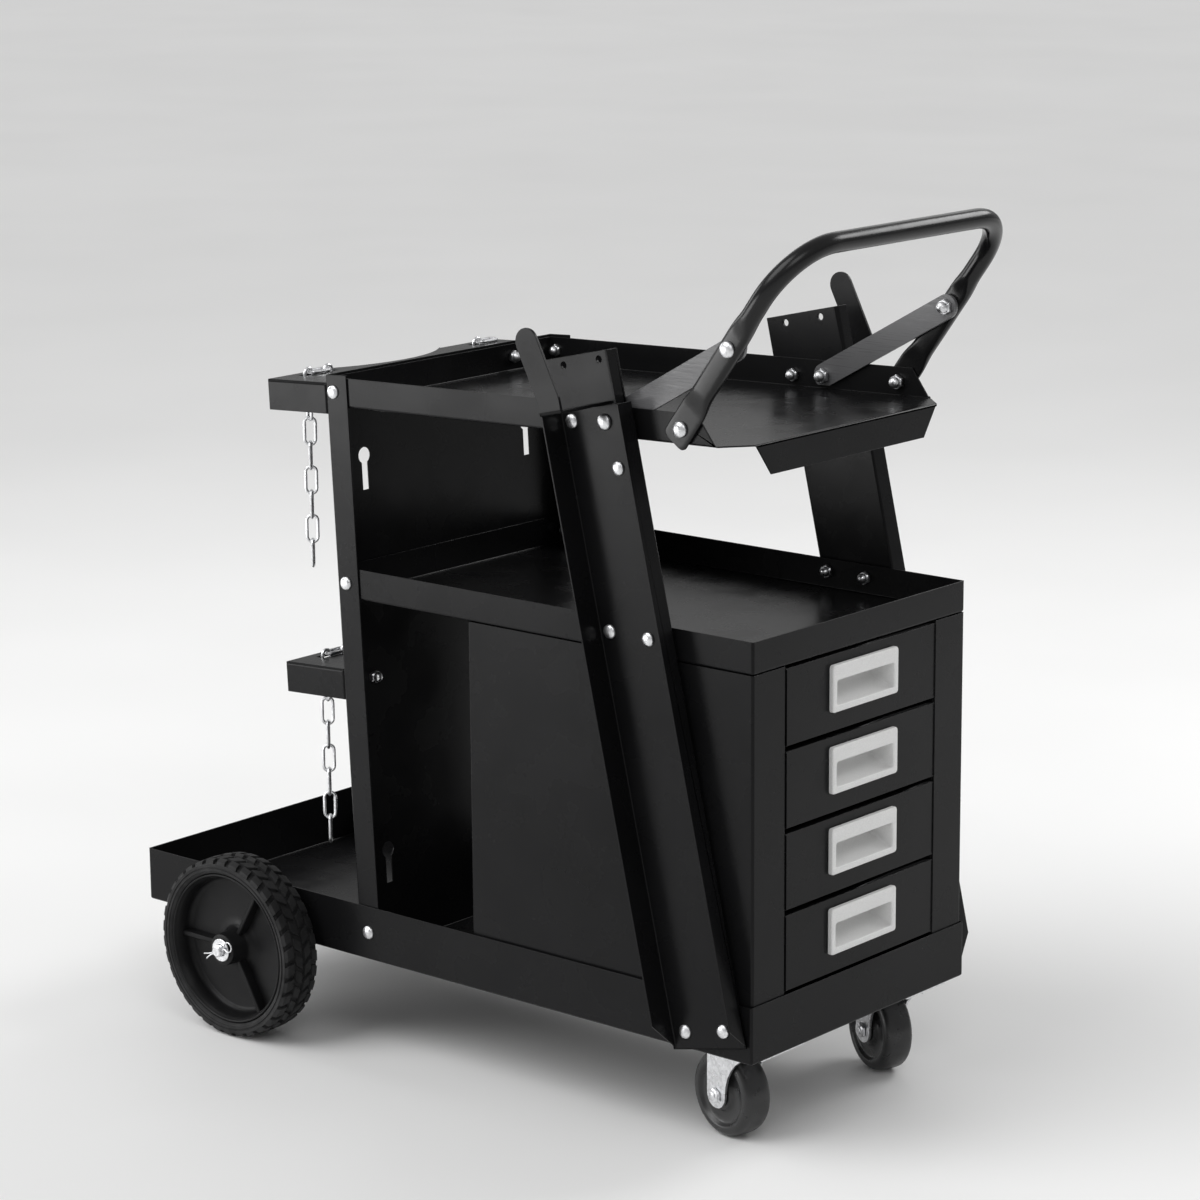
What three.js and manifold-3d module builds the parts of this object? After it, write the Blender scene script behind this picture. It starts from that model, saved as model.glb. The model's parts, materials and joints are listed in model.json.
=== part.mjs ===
// A welding cart: a sheet-steel trolley with a four-drawer cabinet, two trays, a rear platform for a gas
// cylinder, a push handle, two large rear wheels and two swivel casters in front.
// Millimetres, +Z up. The cart faces +X, where its drawers open; +Y is its left side.
import * as THREE from "three";
import { mergeVertices } from "three/addons/utils/BufferGeometryUtils.js";
import Module from "manifold-3d";

const wasm = await Module();
wasm.setup();

// Driving dimensions: sheet and fits
const sheet = 1.2;
const seat = 0.3;
const boltShank = 6;
const boltRoom = 0.4;
const boltHead = 13;
const boltDome = 4;
const nutAcross = 13;
const nutHeight = 10;

// Driving dimensions: trays, cabinet and back panel
const trayWidth = 278;
const baseLength = 685;
const baseRim = 47;
const cabinetDepth = 294;
const stileWidth = 40;
const midRim = 26;
const shelfGap = 134;
const topTrayLength = 431;
const topRim = 24.5;
const topTilt = 1.6;
const topCornerLength = 22;
const topCornerWidth = 22;
const topRimSetback = 17;
const lipDrop = 24;
const lipTaper = 18;
const storageBay = 127;
const panelRise = 2;
const panelFlange = 24;
const panelLean = 3;
const keyholeRound = 14;
const keyholeSlot = 7;
const keyholeLength = 29;
const keyholeInset = 38;
const keyholeLowHeight = 55;
const keyholeHighHeight = 395;

// Driving dimensions: drawers, their runners and pulls
const drawerCount = 4;
const drawerPitch = 66.1;
const drawerGap = 4.4;
const drawerSideGap = 1;
const drawerBackRoom = 30;
const drawerHeadroom = 9.6;
const drawerFloorRaise = 8;
const drawerBoxGap = 1.5;
const runnerLedge = 10;
const runnerGap = 0.8;
const pullWidth = 86;
const pullHeight = 38;
const pullRaise = 4;
const pullThickness = 4;
const pullBorder = 5.4;
const pullTopBand = 12.4;
const pullPocketDepth = 21;
const pullPocketBack = 11.7;
const pullWall = 1.5;
const pullCutGap = 0.5;

// Driving dimensions: side channels and cable hooks
const channelSheet = 1.5;
const channelWidth = 74.5;
const channelRearFlange = 24;
const channelFrontFlange = 17.5;
const channelEnd = 12.7;
const channelBoltOffset = 7.3;
const channelFootBack = 38;
const channelFootRise = 6;
const hookSheet = 2.5;
const hookWidth = 75;
const hookBack = 8;
const hookLap = 40;
const hookRise = 42;
const hookReturn = 13;
const hookHole = 6;
const hookHoleSpacing = 37;
const hookHoleDrop = 6.5;
const hookStripWidth = 22;
const hookStripForward = 3.8;
const hookTabLength = 70;
const hookTabLean = 9.5;
const hookReach = 60.7;

// Driving dimensions: handle and braces
const handleTube = 16;
const handleOffset = 2.5;
const handleRise = 53.8;
const handleLeg = 180.5;
const handleBend = 50;
const handleBoltInset = 53;
const handleFlatLength = 34;
const handleFlatWidth = 24;
const handleFlatThickness = 3;
const handleFlatEnd = 13;
const handleFlare = 16;
const handleFootChamfer = 4;
const handlePress = 8;
const handlePressWidth = 20;
const handlePressStart = 26;
const handlePressMargin = 8;
const handlePressLap = 4;
const braceWidth = 20;
const braceThickness = 3;
const braceDeckRoom = 3;
const braceBoltInset = 127;
const braceOnLeg = 82;

// Driving dimensions: cylinder brackets and chains
const bracketSheet = 2;
const bracketDepth = 69;
const bracketSkirt = 26;
const upperBracketDrop = 7;
const lowerBracketHeight = 248;
const cradleRadius = 115;
const cradleDepth = 24;
const slotRearInset = 14.3;
const slotSideInset = 34;
const slotRoom = 5;
const slotPlay = 6;
const linkLength = 26;
const linkWidth = 12;
const linkWire = 2.8;
const linkLap = 0.6;
const linkLift = 0.7;
const tailLinks = 8;
const upperSlack = 1.15;
const lowerSlack = 1.66;

// Driving dimensions: rear wheels and axle
const wheelRadius = 79;
const tyreWidth = 38;
const tyreHeight = 13;
const wheelGap = 10;
const axleDiameter = 10;
const axleRoom = 0.3;
const axleFromRear = 144.5;
const hubRadius = 14;
const hubStandOut = 2;
const rimBed = 3;
const rimWeb = 5;
const rimDish = 16;
const rimRibs = 3;
const rimRibWidth = 7;
const rimRibHeight = 8;
const rimEdgeInset = 2;
const rimFillet = 3;
const tyreBeadInset = 3;
const tyreBeadRise = 4;
const tyreShoulder = 4;
const tyreShoulderIn = 2;
const tyreCrown = 1.2;
const tyreCrownIn = 10;
const washerRadius = 10;
const washerThickness = 1.5;
const cotterGap = 1.1;
const cotterWire = 2.6;
const cotterLength = 22;
const cotterEye = 5;
const cotterTurn = 70;
const axleEnd = 3;
const saddleLength = 36;
const saddleWidth = 14;
const saddleWall = 4;
const saddleInset = 32;

// Driving dimensions: casters
const casterRadius = 36;
const casterWidth = 26;
const casterPlateLength = 62;
const casterPlateWidth = 54;
const casterPlateSheet = 2.5;
const casterRace = 3.4;
const casterRaceRadius = 21;
const casterKingpin = 5;
const casterSetback = 35.5;
const casterInset = 46;
const casterTopGap = 3;
const casterTrail = 25;
const casterForkSheet = 2.5;
const casterForkTop = 52;
const casterForkEye = 11;
const casterForkWaist = 29;
const casterForkRoom = 1.6;
const casterAxle = 4;
const casterNut = 7;
const casterNutHeight = 4;
const casterCap = 5;
const casterCapHeight = 3.5;
const casterKingpinEnd = 1;
const casterHub = 13;
const casterDishRadius = 24;
const casterDish = 3;
const casterEdge = 5;
const casterCrown = 1;
const casterSwivelRight = -12;
const casterSwivelLeft = -24;

// Sides of the round pieces
const holeSides = 12;
const rodSides = 14;
const axleSides = 20;
const casterSides = 24;
const rimSides = 32;
const tyreSides = 40;
const cradleSides = 48;
const linkSides = 4;
const linkSteps = 8;
const wireSides = 8;
const sagPasses = 40;

// Levels and planes that follow from the dimensions. The base lies on its axle or on the casters' plates,
// whichever is higher, and the saddles and forks take up the difference.
const axleTop = wheelRadius + axleDiameter / 2 + seat;
const casterHead = casterForkSheet + seat + casterRace + casterPlateSheet + seat;
const baseZ = Math.max(axleTop, 2 * casterRadius + casterTopGap + casterHead);
const baseFloorZ = baseZ + sheet;
const baseRimZ = baseZ + baseRim;
const midTrayZ = baseRimZ + drawerCount * drawerPitch;
const topTrayZ = midTrayZ + midRim + shelfGap;
const trayHalf = trayWidth / 2;
const flangeInner = trayHalf + seat;
const flangeOuter = flangeInner + sheet;
const baseInner = flangeOuter + seat;
const baseOuter = baseInner + sheet;
const webInner = Math.max(baseOuter, flangeInner + hookSheet) + seat;
const baseFrontX = seat + sheet;
const baseRearX = baseFrontX - baseLength;
const openingHalf = trayHalf - stileWidth;
const hookOuter = flangeInner + hookReach;
const radians = THREE.MathUtils.degToRad;

// Finishes
const powderCoat = { color: 0x1b1c1e, roughness: 0.42, metalness: 0.35 };
const glossTube = { color: 0x121314, roughness: 0.22, metalness: 0.3 };
const zinc = { color: 0xb9bcc0, roughness: 0.32, metalness: 0.9 };
const silver = { color: 0xb4b5b4, roughness: 0.45, metalness: 0.15 };
const rubber = { color: 0x141414, roughness: 0.85, metalness: 0 };
const darkPlastic = { color: 0x1d1e20, roughness: 0.5, metalness: 0 };

// A closed geometry as a solid whose faces point out.
function toSolid(geometry) {
  const bare = new THREE.BufferGeometry();
  const loose = geometry.index ? geometry.toNonIndexed() : geometry;
  bare.setAttribute("position", loose.getAttribute("position").clone());
  const merged = mergeVertices(bare, 1e-4);
  const vertProperties = merged.attributes.position.array;
  const triVerts = new Uint32Array(merged.index.array);
  const solid = new wasm.Manifold(new wasm.Mesh({ numProp: 3, vertProperties, triVerts }));
  if (solid.volume() > 0) return solid;
  return new wasm.Manifold(new wasm.Mesh({ numProp: 3, vertProperties, triVerts: triVerts.reverse() }));
}

function toGeometry(solid) {
  const { vertProperties, triVerts } = solid.getMesh();
  const geometry = new THREE.BufferGeometry();
  geometry.setAttribute("position", new THREE.BufferAttribute(Float32Array.from(vertProperties), 3));
  geometry.setIndex(new THREE.BufferAttribute(Uint32Array.from(triVerts), 1));
  geometry.computeVertexNormals();
  return geometry;
}

const join = (...parts) => toGeometry(parts.map(toSolid).reduce((all, part) => all.add(part)));
const cut = (body, ...tools) => {
  const left = tools.map(toSolid).reduce((rest, tool) => rest.subtract(tool), toSolid(body));
  return toGeometry(left);
};

function block(x0, x1, y0, y1, z0, z1) {
  const box = new THREE.BoxGeometry(x1 - x0, y1 - y0, z1 - z0);
  return box.translate((x0 + x1) / 2, (y0 + y1) / 2, (z0 + z1) / 2);
}

function outline(points) {
  return new THREE.Shape(points.map(([a, b]) => new THREE.Vector2(a, b)));
}

function extrude(shape, depth) {
  return new THREE.ExtrudeGeometry(shape, { depth, bevelEnabled: false, curveSegments: 6 });
}

const axisX = new THREE.Vector3(1, 0, 0);
const axisY = new THREE.Vector3(0, 1, 0);
const axisZ = new THREE.Vector3(0, 0, 1);
const ontoXZ = new THREE.Matrix4().makeBasis(axisX, axisZ, axisY.clone().negate());
const ontoYZ = new THREE.Matrix4().makeBasis(axisY, axisZ, axisX);

// Flat pieces drawn in two axes, from a level along the third.
const plateXY = (shape, z, depth) => extrude(shape, depth).translate(0, 0, z);
const plateXZ = (shape, y, depth) => extrude(shape, depth).applyMatrix4(ontoXZ).translate(0, y + depth, 0);
const plateYZ = (shape, x, depth) => extrude(shape, depth).applyMatrix4(ontoYZ).translate(x, 0, 0);

// A round rod along Y at (x, z).
function rodY(x, z, radius, y0, y1, sides = rodSides) {
  const rod = new THREE.CylinderGeometry(radius, radius, y1 - y0, sides);
  return rod.translate(x, (y0 + y1) / 2, z);
}

function rodZ(x, y, radius, z0, z1, sides = rodSides) {
  const rod = new THREE.CylinderGeometry(radius, radius, z1 - z0, sides).rotateX(Math.PI / 2);
  return rod.translate(x, y, (z0 + z1) / 2);
}

// A ring or disc turned about Y from a closed profile of radius and height.
function turned(profile, sides) {
  return new THREE.LatheGeometry(profile.map(([r, y]) => new THREE.Vector2(r, y)), sides);
}

// A bar with round ends between two points.
function roundBar([ax, az], [bx, bz], radius) {
  const angle = Math.atan2(bz - az, bx - ax);
  const shape = new THREE.Shape();
  shape.absarc(bx, bz, radius, angle - Math.PI / 2, angle + Math.PI / 2);
  shape.absarc(ax, az, radius, angle + Math.PI / 2, angle + 1.5 * Math.PI);
  return shape;
}

// An open tray folded from sheet: a floor with a rim on all four sides.
function openTray(x0, x1, half, z0, rim) {
  const outside = block(x0, x1, -half, half, z0, z0 + rim);
  const inside = block(x0 + sheet, x1 - sheet, sheet - half, half - sheet, z0 + sheet, z0 + rim + sheet);
  return cut(outside, inside);
}

// A frame that leans in the X and Z plane about its origin, and points carried into and out of it.
function leaning(x, z, degrees) {
  const group = new THREE.Group();
  group.position.set(x, 0, z);
  group.rotation.y = -radians(degrees);
  const cos = Math.cos(radians(degrees));
  const sin = Math.sin(radians(degrees));
  const out = (u, w) => [x + u * cos - w * sin, z + u * sin + w * cos];
  const into = (px, pz) => [(px - x) * cos + (pz - z) * sin, (pz - z) * cos - (px - x) * sin];
  return { group, out, into };
}

const cart = new THREE.Group();
const leftSide = new THREE.Group();
const rightSide = new THREE.Group();
rightSide.scale.y = -1;
cart.add(leftSide, rightSide);

function piece(name, geometry, finish, parent = cart) {
  const mesh = new THREE.Mesh(toGeometry(toSolid(geometry)), new THREE.MeshStandardMaterial(finish));
  mesh.name = name;
  parent.add(mesh);
  return mesh;
}

// One piece for each side of the cart, drawn with +Y outboard.
function pair(name, geometry, finish, place = (mesh) => mesh) {
  leftSide.add(place(piece(`${name}_left`, geometry, finish)));
  rightSide.add(place(piece(`${name}_right`, geometry, finish)));
}

// Frames of the leaning pieces
const panel = leaning(-cabinetDepth - storageBay - sheet, baseFloorZ + seat, panelLean);
const panelFrontX = (z) => {
  const [footX, footZ] = panel.out(sheet, 0);
  return footX - (z - footZ) * Math.tan(radians(panelLean));
};
const topTray = leaning(panelFrontX(topTrayZ) + seat, topTrayZ, topTilt);
const panelHeight = panel.into(...topTray.out(0, topRim))[1] + panelRise;
cart.add(panel.group, topTray.group);

function alongFrame(frame) {
  return (mesh) => {
    const holder = new THREE.Group();
    holder.position.copy(frame.group.position);
    holder.rotation.copy(frame.group.rotation);
    return holder.add(mesh);
  };
}

// Bolt centres in the cart's X and Z
const handleBoltAlong = topTrayLength - handleBoltInset;
const braceBoltAlong = topTrayLength - braceBoltInset;
const [handleBoltX, handleBoltZ] = topTray.out(handleBoltAlong, topRim / 2);
const [braceBoltX, braceBoltZ] = topTray.out(braceBoltAlong, topRim / 2);
const legX = Math.cos(radians(handleRise));
const legZ = Math.sin(radians(handleRise));
const legBolt = [handleBoltX + braceOnLeg * legX, handleBoltZ + braceOnLeg * legZ];
const boltHole = boltShank / 2 + boltRoom;

// The side channels lean from a foot on the base's rim to the brace bolt on the top tray's rim.
const channelFootZ = baseZ + channelFootRise;
const channelAim = Math.atan2(channelBoltOffset - channelFootBack - braceBoltX, braceBoltZ - channelFootZ);
const channel = leaning(-channelFootBack, channelFootZ, THREE.MathUtils.radToDeg(channelAim));
const channelBolt = channel.into(braceBoltX, braceBoltZ);
const channelLength = channelBolt[1] + channelEnd;
const drill = (x, z, y0, y1) => rodY(x, z, boltHole, y0, y1, holeSides);

// A dome-head bolt along Y, head outboard and nut inboard.
function bolt(x, z, nutFace, headFace) {
  const dome = [0, Math.PI / 4, Math.PI / 2].map((angle) => {
    return [(boltHead / 2) * Math.sin(angle), headFace + boltDome * Math.cos(angle)];
  });
  const profile = [
    ...dome,
    [boltShank / 2, headFace],
    [boltShank / 2, nutFace],
    [nutAcross / 2, nutFace],
    [nutAcross / 2, nutFace - nutHeight],
    [0, nutFace - nutHeight],
  ];
  return turned(profile, holeSides).translate(x, 0, z);
}

// Base tray: the cabinet stands on its front, a gas cylinder on its rear.
piece("base_tray", openTray(baseRearX, baseFrontX, baseOuter, baseZ, baseRim), powderCoat);

// Cabinet: sides, back and front stiles folded from one sheet, open to the tray above and the base below.
const cabinetLow = baseFloorZ + seat;
const cabinetHigh = midTrayZ - seat;
const cabinetOuter = block(-cabinetDepth, 0, -trayHalf, trayHalf, cabinetLow, cabinetHigh);
const cabinetInner = block(sheet - cabinetDepth, -sheet, sheet - trayHalf, trayHalf - sheet, 0, topTrayZ);
const cabinetMouth = block(-2 * sheet, sheet, -openingHalf, openingHalf, 0, topTrayZ);
piece("cabinet_body", cut(cabinetOuter, cabinetInner, cabinetMouth), powderCoat);

// Middle tray: the cabinet's top, reaching back to the panel.
piece("middle_tray", openTray(panelFrontX(midTrayZ) + seat, 0, trayHalf, midTrayZ, midRim), powderCoat);

// Top tray: rims on three sides, cut corners and a tapered lip bent down in front.
function topTrayGeometry() {
  const lipHalf = trayHalf - topCornerWidth;
  const rimEnd = topTrayLength - topCornerLength;
  const deck = outline([
    [0, -trayHalf],
    [rimEnd, -trayHalf],
    [topTrayLength, -lipHalf],
    [topTrayLength, lipHalf],
    [rimEnd, trayHalf],
    [0, trayHalf],
  ]);
  const sideRim = outline([
    [0, 0],
    [rimEnd, 0],
    [rimEnd - topRimSetback, topRim],
    [0, topRim],
  ]);
  const lip = outline([
    [-lipHalf, sheet],
    [lipTaper - lipHalf, -lipDrop],
    [lipHalf - lipTaper, -lipDrop],
    [lipHalf, sheet],
  ]);
  const folded = join(
    plateXY(deck, 0, sheet),
    plateXZ(sideRim, trayHalf - sheet, sheet),
    plateXZ(sideRim, -trayHalf, sheet),
    block(0, sheet, -trayHalf, trayHalf, 0, topRim),
    plateYZ(lip, topTrayLength - sheet, sheet),
  );
  const through = [handleBoltAlong, braceBoltAlong].map((along) => {
    return drill(along, topRim / 2, -hookOuter, hookOuter);
  });
  return cut(folded, ...through);
}
piece("top_tray", topTrayGeometry(), powderCoat, topTray.group);

// Back panel: a sheet across the cart with flanges folded forward outside the trays.
function keyhole(y, z) {
  const slot = block(-sheet, 2 * sheet, y - keyholeSlot / 2, y + keyholeSlot / 2, z - keyholeLength, z);
  const round = new THREE.CylinderGeometry(keyholeRound / 2, keyholeRound / 2, 3 * sheet, rodSides);
  return join(slot, round.rotateZ(Math.PI / 2).translate(sheet / 2, y, z));
}
function backPanelGeometry() {
  const outside = block(0, panelFlange, -flangeOuter, flangeOuter, 0, panelHeight);
  const inside = block(sheet, panelFlange + sheet, -flangeInner, flangeInner, -sheet, panelHeight + sheet);
  const keyholes = [keyholeLowHeight, keyholeHighHeight].flatMap((z) => {
    const y = trayHalf - keyholeInset;
    return [keyhole(y, z + keyholeLength), keyhole(-y, z + keyholeLength)];
  });
  return cut(outside, inside, ...keyholes);
}
piece("back_panel", backPanelGeometry(), powderCoat, panel.group);

// Side channels: leaning webs with flanges turned outboard, the rear one wider, their lower ends cut slanting.
function channelGeometry() {
  const half = channelWidth / 2;
  const flange = (width) => outline([
    [webInner, 0],
    [webInner + width, width],
    [webInner + width, channelLength],
    [webInner, channelLength],
  ]);
  const formed = join(
    block(-half, half, webInner, webInner + channelSheet, 0, channelLength),
    plateYZ(flange(channelRearFlange), -half, channelSheet),
    plateYZ(flange(channelFrontFlange), half - channelSheet, channelSheet),
  );
  return cut(formed, drill(...channelBolt, 0, hookOuter));
}
pair("side_channel", channelGeometry(), powderCoat, alongFrame(channel));

// Cable hooks: a plate lapped behind the channel's top, with a strip that runs outboard and turns up.
function hookGeometry() {
  const rear = -hookBack - hookWidth / 2;
  const front = rear + hookWidth;
  const top = channelLength + hookRise;
  const shelf = channelLength + seat;
  const stripRear = hookStripForward - hookStripWidth / 2;
  const stripFront = stripRear + hookStripWidth;
  const plate = block(rear, front, flangeInner, flangeInner + hookSheet, channelLength - hookLap, top);
  const fold = block(front - hookSheet, front, flangeInner, flangeInner + hookReturn, shelf, top);
  const strip = block(stripRear, stripFront, flangeInner, hookOuter, shelf, shelf + hookSheet);
  const tipX = hookStripForward - hookTabLength * Math.sin(radians(hookTabLean));
  const tipZ = shelf + hookTabLength * Math.cos(radians(hookTabLean)) - hookStripWidth / 2;
  const tab = roundBar([tipX, tipZ], [hookStripForward, shelf + hookStripWidth / 2], hookStripWidth / 2);
  const tabInner = hookOuter - hookSheet;
  const foot = block(stripRear, stripFront, tabInner, hookOuter, shelf, shelf + hookStripWidth / 2);
  const holes = [-1, 1].map((end) => {
    const x = (rear + front) / 2 + (end * hookHoleSpacing) / 2;
    return rodY(x, top - hookHoleDrop, hookHole / 2, 0, webInner, holeSides);
  });
  const formed = join(plate, fold, strip, foot, plateXZ(tab, tabInner, hookSheet));
  return cut(formed, ...holes, drill(...channelBolt, 0, webInner));
}
pair("cable_hook", hookGeometry(), powderCoat, alongFrame(channel));

// Handle: one bent tube whose legs are pressed flat where the braces meet them and end in feet bolted outside
// the top tray's rims.
const braceOuter = trayHalf - sheet - seat;
const pressInner = braceOuter + seat;
const pressEnd = braceOnLeg + braceWidth / 2 + handlePressMargin;
const handleTubeSide = trayHalf + handleOffset;
function handleGeometry() {
  const onLeg = (y, along) => new THREE.Vector3(handleBoltX + along * legX, y, handleBoltZ + along * legZ);
  const barHalf = handleTubeSide - handleBend;
  const bendStart = handleLeg - handleBend;
  const straight = (from, to) => new THREE.LineCurve3(from, to);
  const legLow = pressEnd - handlePressLap;
  const corner = (side) => [
    onLeg(side * handleTubeSide, bendStart),
    onLeg(side * handleTubeSide, handleLeg),
    onLeg(side * barHalf, handleLeg),
  ];
  const path = new THREE.CurvePath();
  path.add(straight(onLeg(handleTubeSide, legLow), onLeg(handleTubeSide, bendStart)));
  path.add(roundCorner(...corner(1)));
  path.add(straight(onLeg(barHalf, handleLeg), onLeg(-barHalf, handleLeg)));
  path.add(roundCorner(...corner(-1).reverse()));
  path.add(straight(onLeg(-handleTubeSide, bendStart), onLeg(-handleTubeSide, legLow)));
  const section = new THREE.Shape().absarc(0, 0, handleTube / 2, 0, 2 * Math.PI);
  const tube = new THREE.ExtrudeGeometry(section, { extrudePath: path, steps: 40, curveSegments: 5 });
  const ends = [1, -1].map((side) => handleEnd().scale(1, side, 1));
  const handleBolts = [[handleBoltX, handleBoltZ], legBolt];
  const holes = handleBolts.map((place) => drill(...place, -hookOuter, hookOuter));
  return cut(join(tube, ...ends), ...holes);
}

// A quarter bend between two straights, as a curve that starts and ends on them.
function roundCorner(from, corner, to) {
  const pull = (4 / 3) * (Math.SQRT2 - 1);
  const first = from.clone().lerp(corner, pull);
  const second = to.clone().lerp(corner, pull);
  return new THREE.CubicBezierCurve3(from, first, second, to);
}

// A leg's end: the tube is pressed beside the brace and flattened to a wider foot against the rim.
function handleEnd() {
  const half = handleFlatWidth / 2;
  const neck = handlePressWidth / 2;
  const foot = outline([
    [-handleFlatEnd, handleFootChamfer - half],
    [handleFootChamfer - handleFlatEnd, -half],
    [handleFlatLength - handleFlare, -half],
    [handleFlatLength, -neck],
    [handleFlatLength, neck],
    [handleFlatLength - handleFlare, half],
    [handleFootChamfer - handleFlatEnd, half],
    [-handleFlatEnd, half - handleFootChamfer],
  ]);
  const pressed = outline([
    [handlePressStart, -neck],
    [pressEnd, -handleTube / 2],
    [pressEnd, handleTube / 2],
    [handlePressStart, neck],
  ]);
  const flat = join(
    plateXZ(foot, flangeInner, handleFlatThickness),
    plateXZ(pressed, pressInner, handlePress),
  );
  return flat.rotateY(-radians(handleRise)).translate(handleBoltX, 0, handleBoltZ);
}
piece("handle_tube", handleGeometry(), glossTube);

// Braces: flat bars from the top tray's rims to the legs, on the inboard side of both. Their lower ends are
// cut level with the deck, with room for what stands on it.
function braceGeometry() {
  const bar = roundBar([braceBoltX, braceBoltZ], legBolt, braceWidth / 2);
  const solid = plateXZ(bar, braceOuter - braceThickness, braceThickness);
  const deckRoom = outline([
    topTray.out(0, 0),
    topTray.out(topTrayLength, 0),
    topTray.out(topTrayLength, sheet + braceDeckRoom),
    topTray.out(0, sheet + braceDeckRoom),
  ]);
  const holes = [[braceBoltX, braceBoltZ], legBolt].map((place) => drill(...place, 0, hookOuter));
  return cut(solid, plateXZ(deckRoom, 0, hookOuter), ...holes);
}
pair("handle_brace", braceGeometry(), powderCoat);

// Bolts of the handle and its braces
const rimInner = trayHalf - sheet;
const braceInner = braceOuter - braceThickness;
const footOuter = flangeInner + handleFlatThickness;
pair("handle_bolt", bolt(handleBoltX, handleBoltZ, rimInner - seat, footOuter + seat), zinc);
pair("leg_bolt", bolt(...legBolt, braceInner - seat, pressInner + handlePress + seat), zinc);
pair("brace_bolt", bolt(braceBoltX, braceBoltZ, braceInner - seat, webInner + channelSheet + seat), zinc);

// Cylinder brackets: shelves behind the panel with a hollow for the cylinder and slots for the chain.
const slotBack = bracketDepth + seat - slotRearInset;
const slotSide = trayHalf - slotSideInset;
const slotPlaces = [-slotSide, linkLength - linkWire - slotSide, slotSide];
const upperBracketHeight = panelHeight - upperBracketDrop;
function bracketGeometry(top) {
  const rear = -seat - bracketDepth;
  const outside = block(rear, -seat, -trayHalf, trayHalf, top - bracketSkirt, top);
  const skirtHalf = trayHalf - bracketSheet;
  const under = top - 2 * bracketSkirt;
  const inside = block(rear - seat, -seat - bracketSheet, -skirtHalf, skirtHalf, under, top - bracketSheet);
  const cradleX = rear + cradleDepth - cradleRadius;
  const cradle = rodZ(cradleX, 0, cradleRadius, under, top + bracketSkirt, cradleSides);
  const slotHalfX = (linkWire + slotPlay) / 2;
  const slotHalfY = (linkWidth + slotRoom) / 2;
  const slots = slotPlaces.map((y) => {
    const [x0, x1] = [-slotBack - slotHalfX, -slotBack + slotHalfX];
    return block(x0, x1, y - slotHalfY, y + slotHalfY, top - 2 * bracketSheet, top + bracketSheet);
  });
  return cut(outside, inside, cradle, ...slots);
}
piece("upper_cylinder_bracket", bracketGeometry(upperBracketHeight), powderCoat, panel.group);
piece("lower_cylinder_bracket", bracketGeometry(lowerBracketHeight), powderCoat, panel.group);

// Chain: welded oval links, each turned a quarter from the last.
const linkReach = linkLength / 2 - linkWire / 2;
const linkStep = linkLength - 2 * linkWire + linkLap;
function chainLink(from, to, turn) {
  const link = new THREE.TorusGeometry((linkWidth - linkWire) / 2, linkWire / 2, linkSides, linkSteps);
  const points = link.getAttribute("position");
  for (let i = 0; i < points.count; i++) {
    const x = points.getX(i);
    points.setX(i, x + (Math.sign(x) * (linkLength - linkWidth)) / 2);
  }
  const along = to.clone().sub(from).normalize();
  const aim = new THREE.Quaternion().setFromUnitVectors(axisX, along);
  const middle = from.clone().lerp(to, 0.5);
  return link.rotateX(turn).applyQuaternion(aim).translate(middle.x, middle.y, middle.z);
}
const chainOf = (stops) => stops.slice(1).map((stop, i) => {
  return chainLink(stops[i], stop, (i % 2) * (Math.PI / 2));
});

// Points one link apart along a curve that hangs between two ends on a level.
function hangingStops(x, y0, y1, z, links) {
  const ends = [new THREE.Vector3(x, y0, z), new THREE.Vector3(x, y1, z)];
  const stopsAt = (sag) => {
    const low = new THREE.Vector3(x, (y0 + y1) / 2, z - 2 * sag);
    return new THREE.QuadraticBezierCurve3(ends[0], low, ends[1]).getSpacedPoints(links);
  };
  const lengthAt = (sag) => {
    const stops = stopsAt(sag);
    return stops.slice(1).reduce((sum, stop, i) => sum + stop.distanceTo(stops[i]), 0);
  };
  let [shallow, deep] = [0, links * linkStep];
  for (let pass = 0; pass < sagPasses; pass++) {
    const sag = (shallow + deep) / 2;
    if (lengthAt(sag) < links * linkStep) shallow = sag;
    else deep = sag;
  }
  return stopsAt(deep);
}

// A chain on a bracket: flat links lying over the slots, the sling that hangs between them, and a loose tail.
// The sling has an odd count of links, so that both its ends pass through their slots turned alike.
function addChain(level, top, slack) {
  const [x, topZ] = panel.out(-slotBack, top);
  const lieZ = topZ + linkLift + linkWire / 2;
  const [tailY, nearY, farY] = slotPlaces;
  const at = (y, z) => new THREE.Vector3(x, y, z);
  const hangZ = lieZ + linkWire + seat - (linkReach - linkStep / 2);
  const needed = ((farY - nearY) * slack) / linkStep;
  const links = 2 * Math.ceil((needed - 1) / 2) + 1;
  const sling = hangingStops(x, nearY, farY, hangZ - linkStep, links);
  const tailStops = Array.from({ length: tailLinks + 1 }, (_, i) => at(tailY, hangZ - i * linkStep));
  const lying = (y) => chainLink(at(y, lieZ), at(y + linkLength - linkWire, lieZ), 0);
  piece(`${level}_chain_catch_right`, lying(tailY), zinc);
  piece(`${level}_chain_catch_left`, lying(farY), zinc);
  piece(`${level}_chain`, join(...chainOf([at(nearY, hangZ), ...sling, at(farY, hangZ)])), zinc);
  piece(`${level}_chain_tail`, join(...chainOf(tailStops)), zinc);
}
addChain("upper", upperBracketHeight, upperSlack);
addChain("lower", lowerBracketHeight, lowerSlack);

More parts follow.
